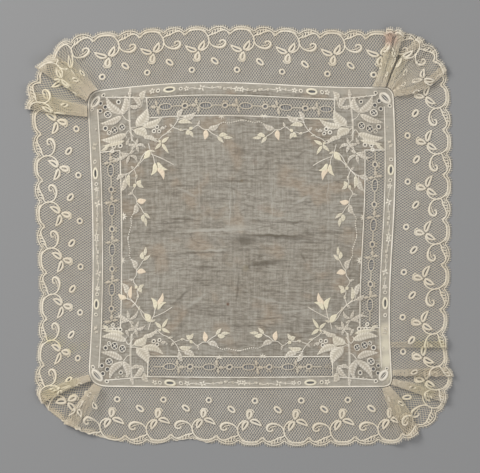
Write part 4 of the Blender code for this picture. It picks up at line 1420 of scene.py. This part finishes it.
def make_insertion(insertion):
    """One insertion, drawn along its length from its middle and laid in its slot."""
    slot = insertion.slot
    middle_x, middle_y = (slot.left + slot.right) / 2, (slot.bottom + slot.top) / 2
    width, length = sorted((slot.right - slot.left - 2 * SEAM_GAP, slot.top - slot.bottom - 2 * SEAM_GAP))
    end = length / 2 - END_MARGIN

    def lay(points):
        x, y = turned(points[:, 0], points[:, 1], insertion.turn)
        return on_lawn(np.column_stack((middle_x + x, middle_y + y, points[:, 2])))

    def clearance(along, across):
        """Below zero past the strip's ends and inside its whole rings."""
        clear = length / 2 - np.abs(along)
        for ring in CHAIN_RINGS:
            first = insertion.cross + ring.along
            middle = first + INSERTION_REPEAT * np.round((along - first) / INSERTION_REPEAT)
            spread = np.hypot((along - middle) / (0.5 * ring.length), across / (0.5 * ring.width))
            is_whole = np.abs(middle) + 0.5 * ring.length < end
            clear = np.where(is_whole, np.minimum(clear, (spread - 0.9) * 0.5 * ring.width), clear)
        return clear

    rows = 2 * round(width / INSERTION_MESH)
    reach = math.ceil((length / 2 + width) / INSERTION_PITCH)
    net = Net(-reach, reach, INSERTION_PITCH, rows, width / rows, -width / 2)
    parts = net_parts(slot.name, net, clearance, lay, chain_thread, CHAIN_NET_RADIUS)
    cords, pads = [], []
    for start in [insertion.cross + number * INSERTION_REPEAT for number in range(-3, 4)]:
        for path, swell in [cord_path(cord, start) for cord in CHAIN_CORDS]:
            if abs(path[[0, -1], 0]).max() < end:
                cords.append((lay(path), swell))
        for leaf in [moved(leaf, start) for leaf in CHAIN_LEAVES]:
            if max(abs(leaf.base[0]), abs(leaf.tip[0])) < end:
                pads.append(leaf_pad(leaf.base, leaf.tip, leaf.width, height=0.35, bend=leaf.bend,
                                     pitch=0.8, vein=0.05))
        for ring in CHAIN_RINGS:
            if abs(start + ring.along) + 0.5 * ring.length < end:
                pads.append(eyelet_pad(start + ring.along, *ring[1:], height=0.4, pitch=0.9))
    paths, swells = zip(*cords)
    parts.append(worked(slot.name + "_cords", paths, THREAD, chain_thread, swells,
                        Radius=CHAIN_CORD_RADIUS * MM, Sides=5, Flatness=0.8))
    parts.append(pad_piece(slot.name + "_pads", pads, lay, chain_thread))
    return joined(slot.name + "_lace", parts), length, width


for insertion in INSERTIONS:
    strip, strip_length, strip_width = make_insertion(insertion)
    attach(strip, "root")
    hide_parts(insertion.slot.name)


# The embroidery
# White cotton floss in padded satin stitch, buttonholed eyelets and stem stitch, with a few leaves faded to
# cream and pink. One corner's motifs are mirrored into all four, and one vine's into all eight half sides.
WOBBLE = 0.45
FLOSS_HEIGHT = 0.16
PATH_HEIGHT = 0.1
HOLE_SPARE = 0.3


def by_hand(x, y):
    """The slight wander of handwork, so that no mirrored motif is quite like another."""
    shift_x = WOBBLE * np.sin(y / 9.0 + x / 13.0) + 0.5 * WOBBLE * np.sin(x / 5.0 - y / 7.0)
    return x + shift_x, y + WOBBLE * np.sin(x / 10.0 - y / 12.0) + 0.5 * WOBBLE * np.sin(x / 6.0 + y / 4.5)


def on_lawn_by_hand(points):
    wandering = np.column_stack((*by_hand(points[:, 0], points[:, 1]), points[:, 2] + FLOSS_HEIGHT))
    return on_lawn(wandering)


Eyelet = namedtuple("Eyelet", "x y size hole bars is_dotted", defaults=(0, False))
CORNER_EYELETS = (
    Eyelet(-95.5, 101.0, 3.4, 1.1), Eyelet(-104.5, 92.5, 3.3, 1.0), Eyelet(-85.0, 95.0, 3.6, 1.5),
    Eyelet(-93.5, 87.2, 5.6, 3.6, 2), Eyelet(-97.6, 95.6, 3.4, 2.0), Eyelet(-94.6, 92.6, 3.6, 2.2),
    Eyelet(-98.4, 90.2, 3.4, 1.9), Eyelet(-96.0, 77.5, 3.9, 1.9), Eyelet(-89.5, 76.0, 5.2, 3.9, 2, True),
    Eyelet(-84.0, 78.0, 5.2, 3.6, 2), Eyelet(-93.5, 74.5, 3.4, 1.8, 1), Eyelet(-90.0, 65.0, 3.5, 1.0),
    Eyelet(-85.5, 65.0, 3.6, 1.1), Eyelet(-91.0, 62.0, 3.3, 0.9), Eyelet(-61.5, 73.0, 3.6, 1.1),
    Eyelet(-59.0, 75.5, 3.5, 1.1), Eyelet(-57.6, 72.4, 3.2, 1.0),
)
CORNER_DOTS = (
    (-86.8, 98.4), (-83.6, 97.8), (-102.5, 77.5), (-55.0, 75.0), (-52.6, 75.3), (-88.8, 99.2),
    (-81.0, 98.0),
)
DOT_SIZE = 1.4
DOT_HOLE = 0.2
# The oval pad on the very corner, with two slits side by side.
CornerPad = namedtuple("CornerPad", "x y length width slit_length slit_width turn")
CORNER_PAD = CornerPad(-101.6, 97.4, 9.6, 7.2, 5.6, 1.6, math.pi / 4)
FlossLeaf = namedtuple("FlossLeaf", "x1 y1 x2 y2 width bend tint", defaults=(0, 0))
CORNER_LEAVES = (
    FlossLeaf(-83.5, 86.5, -93.2, 99.2, 5.2, 0.08), FlossLeaf(-83.0, 86.5, -80.3, 99.4, 5.2, -0.10),
    FlossLeaf(-83.5, 85.4, -99.5, 80.8, 4.4, 0.05), FlossLeaf(-81.0, 72.4, -99.2, 70.2, 5.2, 0.06, 0.1),
    FlossLeaf(-82.5, 68.0, -98.4, 66.0, 2.6, 0.02, 0.3),
    FlossLeaf(-93.5, 66.0, -99.2, 62.6, 2.4, 0.05, 0.3),
    FlossLeaf(-73.6, 77.5, -64.6, 89.6, 7.2, -0.08, 0.1),
    FlossLeaf(-69.5, 77.0, -54.5, 82.6, 4.9, -0.08, 0.15),
    FlossLeaf(-75.5, 76.0, -66.8, 68.4, 6.4, 0.10, 0.2),
    FlossLeaf(-69.5, 69.5, -59.8, 64.6, 3.2, 0.10, 0.1),
    FlossLeaf(-67.0, 70.6, -58.0, 67.8, 2.2, -0.12, 0.1),
    FlossLeaf(-68.4, 95.6, -65.8, 102.6, 4.4, 0.10, 0.05),
    FlossLeaf(-68.8, 91.4, -75.6, 98.4, 3.8, -0.08), FlossLeaf(-70.0, 91.0, -77.6, 93.0, 2.8, 0.10),
    FlossLeaf(-77.0, 98.0, -76.6, 104.0, 2.4, 0.05), FlossLeaf(-56.8, 74.2, -52.3, 74.2, 1.8),
    FlossLeaf(-81.6, 64.8, -79.4, 69.6, 1.8), FlossLeaf(-75.0, 64.5, -81.5, 66.8, 1.9, 0.1),
    FlossLeaf(-75.0, 64.5, -73.5, 69.2, 1.8), FlossLeaf(-74.6, 64.2, -69.8, 64.4, 1.8),
    FlossLeaf(-74.6, 64.0, -68.2, 61.2, 1.8, 0.1), FlossLeaf(-75.0, 64.0, -73.2, 58.6, 1.9),
    FlossLeaf(-75.4, 64.0, -78.6, 61.4, 1.8), FlossLeaf(-80.0, 58.5, -85.8, 61.2, 2.0, 0.1),
    FlossLeaf(-80.4, 58.2, -92.0, 57.2, 1.9, 0.1), FlossLeaf(-80.2, 58.0, -88.6, 53.0, 2.0, -0.1),
    FlossLeaf(-79.8, 57.8, -81.6, 51.6, 2.0), FlossLeaf(-79.6, 58.0, -74.0, 51.4, 2.0, 0.1),
    FlossLeaf(-79.6, 58.6, -76.0, 60.6, 1.7), FlossLeaf(-56.5, 64.5, -50.6, 68.0, 2.3, 0, 0.6),
    FlossLeaf(-56.8, 64.2, -61.8, 59.6, 2.2, 0, 0.5), FlossLeaf(-56.3, 64.0, -52.2, 57.0, 2.2, 0, 0.6),
    FlossLeaf(-56.8, 64.6, -58.6, 66.6, 1.5, 0, 0.6), FlossLeaf(-65.2, 59.6, -69.8, 53.6, 4.0, 0.05, 0.7),
    FlossLeaf(-65.0, 59.4, -61.2, 58.0, 1.6, 0, 0.3), FlossLeaf(-61.6, 50.4, -64.6, 42.4, 3.1, 0.1, 0.75),
    FlossLeaf(-60.4, 50.6, -53.4, 45.8, 3.0, -0.12, 0.7),
    FlossLeaf(-60.2, 47.2, -56.0, 39.4, 3.1, 0.08, 0.95),
)
VINE_LEAVES = (
    FlossLeaf(-44.0, 81.0, -40.2, 87.2, 3.3, 0.06), FlossLeaf(-40.5, 80.5, -32.0, 84.4, 3.7, -0.08, 0.05),
    FlossLeaf(-43.8, 78.2, -34.4, 77.2, 3.0, 0.06, 0.35),
    FlossLeaf(-36.5, 72.6, -39.4, 69.6, 2.9, 0.1, 0.5), FlossLeaf(-36.6, 72.8, -34.2, 75.0, 2.2, 0, 0.6),
    FlossLeaf(-36.4, 72.2, -33.8, 67.8, 2.4, 0, 0.4), FlossLeaf(-31.0, 76.0, -29.2, 78.4, 1.5),
    FlossLeaf(-25.0, 73.2, -25.6, 66.4, 3.5, 0.05, 0.95), FlossLeaf(-23.2, 73.4, -15.8, 76.8, 3.5, -0.08),
    FlossLeaf(-16.2, 69.0, -10.4, 69.2, 2.8, 0.05, 0.5), FlossLeaf(-13.4, 67.6, -7.0, 67.0, 2.1, 0, 0.4),
    FlossLeaf(-17.0, 68.4, -13.0, 63.8, 2.1, 0, 0.4), FlossLeaf(-47.5, 74.5, -49.8, 77.0, 1.6),
    FlossLeaf(-52.0, 71.6, -48.6, 71.0, 1.4, 0, 0.2), FlossLeaf(-43.6, 73.0, -40.4, 72.0, 1.7, 0, 0.2),
)
CORNER_STEMS = (
    ((-76.5, 71.0), (-79.4, 75.2), (-81.6, 72.4), (-81.2, 70.4)),
    ((-77.6, 82.0), (-80.6, 83.2), (-83.2, 86.2)), ((-77.5, 77.2), (-75.0, 77.2), (-73.4, 77.5)),
    ((-77.5, 76.4), (-76.0, 75.6), (-74.4, 73.0)),
    ((-76.8, 91.5), (-72.0, 90.5), (-68.8, 91.2), (-68.0, 95.0)),
    ((-77.5, 68.2), (-76.0, 66.5), (-75.0, 64.5)), ((-75.2, 64.2), (-77.4, 61.6), (-80.0, 58.4)),
    ((-66.2, 64.2), (-65.0, 59.4), (-63.0, 55.0), (-61.8, 49.2)),
    ((-64.0, 56.4), (-58.5, 54.0), (-54.5, 52.0), (-49.6, 49.4)),
    ((-69.8, 53.6), (-74.5, 49.0), (-80.0, 43.8)), ((-57.0, 64.4), (-60.5, 66.4)),
    ((-80.2, 58.4), (-84.4, 56.2)),
)
VINE_STEMS = (
    ((-58.4, 66.6), (-55.5, 69.0), (-52.2, 70.6), (-47.5, 74.5), (-44.5, 78.6), (-43.6, 81.0)),
    ((-44.2, 80.0), (-40.4, 80.6)), ((-47.0, 74.2), (-42.0, 72.6), (-38.5, 73.2), (-36.6, 72.6)),
    ((-35.0, 73.2), (-31.0, 76.0), (-27.0, 73.6), (-23.4, 73.2)), ((-31.0, 76.0), (-29.8, 78.6)),
    ((-23.5, 73.0), (-20.5, 70.6), (-17.0, 68.6), (-13.6, 64.6)),
)
VINE_ARC = ((-15.8, 76.8), (-12.8, 78.2), (-9.4, 77.8), (-5.4, 78.8), (-1.4, 79.8), (0.4, 79.9))
# Stars of five stitches on the inner edges of the slots, either side of the middle.
EDGE_STAR_REACH = 3.0
EDGE_STAR_TURNS = (-80, -42, 0, 42, 80)
EDGE_STARS = (
    (-14.1, 83.2, -90), (16.4, 83.2, -90), (-15.3, -84.6, 90), (16.6, -84.6, 90), (-85.4, -16.0, 0),
    (-85.4, 14.5, 0), (85.6, -16.0, 180), (85.6, 13.6, 180),
)
CORNER_BARS = (((-77.4, 104.0), (-77.0, 98.0), (-77.6, 89.0), (-78.0, 78.5), (-77.4, 67.8)),)
BAR_WIDTH = 2.1
QUARTERS = ((1, 1, False), (-1, 1, False), (1, -1, False), (-1, -1, False))
EIGHTHS = QUARTERS + ((1, 1, True), (-1, 1, True), (1, -1, True), (-1, -1, True))
# How far in from the side the mirrored vine of the upright sides lies, beyond the other two.
UPRIGHT_SHIFT = -1.8


def mirrored(x, y, way):
    """A point of the upper left corner, carried to the corner or half side that way names."""
    flip_x, flip_y, across = way
    if across:
        x, y = -y + UPRIGHT_SHIFT, -x
    return flip_x * x, flip_y * y


LEAF_FULLNESS = 1.14
LEAF_CURL = 1.6
PLAIN_VEIN = 0.3
FADED_VEIN = 0.55
FADED_TINT = 0.3
# Where a leaf has faded otherwise than its mirrored fellows: its middle, and its tint.
Faded = namedtuple("Faded", "x y tint")
FADED_LEAVES = (
    Faded(-81.8, -38.3, 0.95), Faded(-83.2, -43.2, 0.9), Faded(-77.1, -38.3, 0.85), Faded(62.0, 45.0, 0.8),
)


def floss_leaves(leaves, ways):
    pads, tints = [], []
    for way in ways:
        for leaf in leaves:
            bend = LEAF_CURL * leaf.bend * way[0] * way[1] * (-1 if way[2] else 1)
            base, tip = mirrored(leaf.x1, leaf.y1, way), mirrored(leaf.x2, leaf.y2, way)
            vein = FADED_VEIN if leaf.tint > FADED_TINT else PLAIN_VEIN
            pads.append(leaf_pad(base, tip, leaf.width * LEAF_FULLNESS, height=0.6, bend=bend, pitch=0.62,
                                 vein=vein))
            middle = (base[0] + tip[0]) / 2, (base[1] + tip[1]) / 2
            faded = [place.tint for place in FADED_LEAVES if math.dist(middle, place[:2]) < 3.0]
            tints.append(faded[0] if faded else leaf.tint)
    return pads, tints


def edge_stars():
    """Short stitches fanning out from one point on a slot's edge."""
    pads = []
    for x, y, facing in EDGE_STARS:
        for turn in EDGE_STAR_TURNS:
            angle = math.radians(facing + turn)
            way = np.array((math.cos(angle), math.sin(angle)))
            ends = (x, y) + 0.2 * way, (x, y) + EDGE_STAR_REACH * way
            pads.append(leaf_pad(*ends, 1.0, height=0.45, pitch=0.5, vein=0.0))
    return pads


def floss_paths(stems, ways):
    return [curve_through([mirrored(x, y, way) for x, y in stem]) for way in ways for stem in stems]


def flat_paths(paths):
    return [on_lawn_by_hand(at_height(path, PATH_HEIGHT)) for path in paths]


def hole_at(x, y, length, width, turn=0.0):
    """The hole in the lawn under a worked ring, a little wider than the ring's own."""
    return Opening(*by_hand(x, y), length + HOLE_SPARE, width + HOLE_SPARE, turn)


def bar_across(x, y, turn, reach):
    step = reach * np.array((math.cos(turn), math.sin(turn)))
    return np.array(((x, y) - step, (x, y) + step))


def floss_eyelets():
    """The corners' eyelets, with the bars and dots worked over the larger ones."""
    pads, holes, bars = [], [], []
    for way in QUARTERS:
        for eyelet in CORNER_EYELETS:
            x, y = mirrored(eyelet.x, eyelet.y, way)
            pads.append(eyelet_pad(x, y, eyelet.size, eyelet.size, eyelet.hole, eyelet.hole))
            holes.append(hole_at(x, y, eyelet.hole, eyelet.hole))
            for number in range(eyelet.bars):
                bars.append(bar_across(x, y, 0.6 + number * math.pi / 2, 0.55 * eyelet.hole))
            if eyelet.is_dotted:
                pads.append(eyelet_pad(x, y, 1.5, 1.5, DOT_HOLE, DOT_HOLE, height=0.4))
        x, y = mirrored(CORNER_PAD.x, CORNER_PAD.y, way)
        turn = CORNER_PAD.turn * way[0] * way[1]
        slit = CORNER_PAD.slit_length, CORNER_PAD.slit_width
        pads.append(eyelet_pad(x, y, CORNER_PAD.length, CORNER_PAD.width, *slit, turn, height=0.55))
        bars.append(bar_across(x, y, turn, CORNER_PAD.slit_length / 2))
        holes.append(hole_at(x, y, *slit, turn))
        for dot in CORNER_DOTS:
            pads.append(eyelet_pad(*mirrored(*dot, way), DOT_SIZE, DOT_SIZE, DOT_HOLE, DOT_HOLE))
    return pads, holes, bars


# The outer band: stars, rings, long oval pads and two-petal bows in a row, joined by a fine stem. They are
# measured from the middle of each side, and mirrored about it.
TOP_BAND = (
    ("star", -61.5), ("ring", -57.6), ("oval", -50.0), ("ring", -42.2), ("star", -38.0), ("sprig", -32.5),
    ("cross", -26.8), ("sprig", -20.0), ("bow", -12.5), ("sprig", -6.5), ("star", -1.8),
)
SIDE_BAND = (
    ("flower", -66.0), ("ring", -55.2), ("oval", -47.2), ("ring", -39.6), ("star", -35.6),
    ("sprig", -30.0), ("cross", -24.6), ("sprig", -18.2), ("bow", -11.6), ("sprig", -6.0), ("star", -1.4),
)
Band = namedtuple("Band", "motifs centre_x centre_y turn")
BANDS = (
    Band(TOP_BAND, 0.0, 101.4, 0.0), Band(TOP_BAND, 0.0, -102.2, math.pi),
    Band(SIDE_BAND, -103.6, 0.0, math.pi / 2), Band(SIDE_BAND, 103.8, 0.0, -math.pi / 2),
)
RING_SIZE = (3.2, 3.2)
RING_HOLE = (0.9, 0.9)
OVAL_SIZE = (8.8, 4.9)
OVAL_HOLE = (4.9, 1.5)
EYELET_TINT = 0.05
OVAL_TINT = 0.55
BAND_TINT = 0.1
# Where the band's stem shows between the motifs.
BAND_STEMS = ((-36.0, -28.0), (-25.0, -15.5), (-9.0, -3.0), (3.0, 9.0), (15.5, 25.0), (28.0, 36.0))


def band_motif(kind):
    """The pads of one motif, drawn round its own middle."""
    if kind == "ring":
        return [eyelet_pad(0, 0, *RING_SIZE, *RING_HOLE)]
    if kind == "oval":
        return [eyelet_pad(0, 0, *OVAL_SIZE, *OVAL_HOLE, height=0.55)]
    if kind in ("star", "cross"):
        count, reach = (5, 2.3) if kind == "star" else (4, 2.8)
        angles = 0.5 + 2 * math.pi * np.arange(count) / count
        ways = np.column_stack((np.cos(angles), np.sin(angles)))
        return [leaf_pad(0.2 * way, reach * way, 1.4, height=0.45, pitch=0.5, vein=0.0) for way in ways]
    if kind == "flower":
        tips = np.array(((-3.2, 0.8), (-2.4, -1.6), (2.6, 1.6), (3.4, -0.6), (0.4, 2.2)))
        return [leaf_pad(0.1 * tip, tip, 1.5, height=0.45) for tip in tips]
    if kind == "bow":
        petals = ((-3.6, 0.9), 2.1), ((3.4, -1.3), 1.9)
        return [leaf_pad((0.2, -0.3), tip, width, height=0.5, bend=0.06) for tip, width in petals]
    petals = ((1.4, 1.2), 1.1), ((1.6, -0.9), 1.0)
    return [leaf_pad((-0.4, 0.0), tip, width, height=0.4, pitch=0.5) for tip, width in petals]


def on_band(band, along, across):
    """A place measured from the middle of a band, along it and across it."""
    x, y = turned(along, across, band.turn)
    return band.centre_x + x, band.centre_y + y


def band_work():
    pads, tints, stems, holes = [], [], [], []
    for band in BANDS:
        for flip in (1, -1):
            for kind, along in band.motifs:
                for pad in band_motif(kind):
                    flat = on_band(band, (pad.points[:, 0] + along) * flip, pad.points[:, 1])
                    pads.append(Pad(np.column_stack((*flat, pad.points[:, 2])), pad.faces, pad.groove))
                    tints.append(OVAL_TINT if kind == "oval" else BAND_TINT)
                if kind in ("ring", "oval"):
                    size = OVAL_HOLE if kind == "oval" else RING_HOLE
                    holes.append(hole_at(*on_band(band, along * flip, 0.0), *size, band.turn))
        for start, end in BAND_STEMS:
            along = np.linspace(start, end, 10)
            stems.append(np.column_stack(on_band(band, along, 0.35 * np.sin(along * 0.7))))
    return pads, tints, stems, holes


FLOSS_FRESH = (0.95, 0.89, 0.77)
FLOSS_AGED = (0.86, 0.775, 0.63)
FLOSS_SHADE = (0.36, 0.305, 0.225)
FLOSS_CREAM = (0.82, 0.74, 0.53)
FLOSS_PINK = (0.80, 0.63, 0.47)
# The tint at which faded floss is at its creamiest; past it, it goes pink.
CREAMIEST = 0.75


def faded_floss(tree, colour):
    tint = node(tree, "ShaderNodeAttribute", {"attribute_name": "tint"}).outputs["Fac"]
    colour = mixed(tree, ranged(tree, tint, 0.0, CREAMIEST), colour, FLOSS_CREAM, 0.8)
    return mixed(tree, ranged(tree, tint, CREAMIEST, 1.0), colour, FLOSS_PINK, 0.8)


floss = thread_material("white_floss", FLOSS_FRESH, FLOSS_AGED, FLOSS_SHADE, 0.00012, faded_floss)

corner_pads, corner_tints = floss_leaves(CORNER_LEAVES, QUARTERS)
vine_pads, vine_tints = floss_leaves(VINE_LEAVES, EIGHTHS)
star_pads = edge_stars()
leaves = pad_piece("floss_leaves", corner_pads + vine_pads + star_pads, on_lawn_by_hand, floss,
                   corner_tints + vine_tints + [BAND_TINT] * len(star_pads))
eyelets, corner_holes, eyelet_bars = floss_eyelets()
band_pads, band_tints, band_stems, band_holes = band_work()
rings = pad_piece("floss_eyelets", eyelets + band_pads, on_lawn_by_hand, floss,
                  [EYELET_TINT] * len(eyelets) + band_tints)
bars = worked("floss_bars", flat_paths(eyelet_bars), THREAD, floss, Radius=0.25 * MM, Sides=5, Flatness=0.8)
stems = floss_paths(CORNER_STEMS, QUARTERS) + floss_paths(VINE_STEMS, EIGHTHS) + band_stems
stem_work = worked("floss_stems", flat_paths(stems), STITCH, floss,
                   Pitch=0.75 * MM, Length=1.3 * MM, Width=0.62 * MM, Slant=0.35)
arc_work = worked("floss_arcs", flat_paths(floss_paths((VINE_ARC,), EIGHTHS)), STITCH, floss,
                  Pitch=1.5 * MM, Length=1.4 * MM, Width=0.9 * MM, Slant=0.7)
bar_work = worked("floss_ladders", flat_paths(floss_paths(CORNER_BARS, QUARTERS)), STITCH, floss,
                  Pitch=0.8 * MM, Length=BAR_WIDTH * MM, Width=0.7 * MM, Slant=1.5)

for piece in (leaves, rings, bars, stem_work, arc_work, bar_work):
    add_plan_map(piece)
    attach(piece, "root")

lawn = make_lawn(lawn_material(), corner_holes + band_holes)
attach(lawn, "root")
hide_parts("lawn_panel")


# The seams
# The band is joined on by a narrow white seam, the slots are corded and whipped all round, and the lawn's
# rolled edge is whipped over. The seams round the slots have yellowed in places.
HEM_SWELL = 1.35
HEM_INSET = 0.45
# How high each seam's cord lies over the middle of the cloth, and how far its stitches stand over the cord.
SLOT_SEAM_HEIGHT = 0.22
BAND_SEAM_HEIGHT = 0.2
HEM_HEIGHT = 0.15
SLOT_STITCH_RISE = 0.12
HEM_STITCH_RISE = 0.1
# Where the seams between the centre and the band end at the corners: over the top slot, under the bottom
# one, and outside the left and right ones.
SEAM_END_X = 95.0
SEAM_END_Y = 92.0
SEAM_TOP, SEAM_BOTTOM, SEAM_LEFT, SEAM_RIGHT = 99.8, -100.6, -100.2, 100.6


def line_points(x1, y1, x2, y2, step=1.5):
    count = max(1, round(math.hypot(x2 - x1, y2 - y1) / step))
    return np.linspace((x1, y1), (x2, y2), count + 1)


def laid(path, height):
    return on_lawn(at_height(path, height))


slot_seams = []
for slot in SLOTS:
    x1, x2, y1, y2 = slot.left, slot.right, slot.top, slot.bottom
    corners = ((x1, y1), (x2, y1), (x2, y2), (x1, y2))
    for start, end in zip(corners, corners[1:] + corners[:1]):
        slot_seams.append(line_points(*start, *end))
top_slot, right_slot, bottom_slot, left_slot = SLOTS
band_seams = [
    line_points(-SEAM_END_X, SEAM_TOP, top_slot.left, top_slot.top),
    line_points(top_slot.right, top_slot.top, SEAM_END_X, SEAM_TOP),
    line_points(-SEAM_END_X, SEAM_BOTTOM, bottom_slot.left, bottom_slot.bottom),
    line_points(bottom_slot.right, bottom_slot.bottom, SEAM_END_X, SEAM_BOTTOM),
    line_points(left_slot.left, left_slot.top, SEAM_LEFT, SEAM_END_Y),
    line_points(left_slot.left, left_slot.bottom, SEAM_LEFT, -SEAM_END_Y),
    line_points(right_slot.right, right_slot.top, SEAM_RIGHT, SEAM_END_Y),
    line_points(right_slot.right, right_slot.bottom, SEAM_RIGHT, -SEAM_END_Y),
]
hem_plan = edge_at(np.arange(0, EDGE_LENGTHS[-1], 1.2), -HEM_INSET)
hem = np.column_stack((hem_plan, CLOTH_MIDDLE + lawn_rise(hem_plan) + HEM_HEIGHT))
hem = np.vstack((hem, hem[:1]))
seams = [laid(path, SLOT_SEAM_HEIGHT) for path in slot_seams]
seam_paths = seams + [laid(path, BAND_SEAM_HEIGHT) for path in band_seams] + [hem]
seam_swells = [np.full(len(path), HEM_SWELL if path is hem else 1.0) for path in seam_paths]
seam_cord = worked("seam_cords", seam_paths, THREAD, floss, seam_swells,
                   Radius=0.4 * MM, Sides=6, Flatness=0.8)
stitch_paths = [path + (0, 0, SLOT_STITCH_RISE) for path in seams] + [hem + (0, 0, HEM_STITCH_RISE)]
seam_work = worked("seam_stitches", stitch_paths, STITCH, floss,
                   Pitch=1.15 * MM, Length=1.25 * MM, Width=0.55 * MM, Slant=1.0)
GOLDEN_TINT = 0.72
GOLDEN_FADE = 1.5
# Where the seams have yellowed: the middle of the stretch, and how far it reaches each way.
GOLDEN_STRETCHES = (
    (14.9, top_slot.bottom, 49.8, 2.0), (left_slot.left, 11.5, 2.0, 14.2),
    (left_slot.right, 11.5, 2.0, 14.2), (-19.9, bottom_slot.top, 20.6, 2.0),
    (-17.0, bottom_slot.bottom, 7.2, 2.0),
)
for piece in (seam_cord, seam_work):
    places = np.empty(3 * len(piece.data.vertices))
    piece.data.vertices.foreach_get("co", places)
    seam_x, seam_y = places.reshape(-1, 3)[:, :2].T / MM
    golden = np.zeros(len(seam_x))
    for x, y, reach_x, reach_y in GOLDEN_STRETCHES:
        inside = np.minimum(reach_x - np.abs(seam_x - x), reach_y - np.abs(seam_y - y))
        golden = np.maximum(golden, np.clip(inside / GOLDEN_FADE, 0, 1))
    seam_tint = piece.data.attributes.new("tint", "FLOAT", "POINT")
    seam_tint.data.foreach_set("value", GOLDEN_TINT * golden)
    add_plan_map(piece)
    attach(piece, "root")
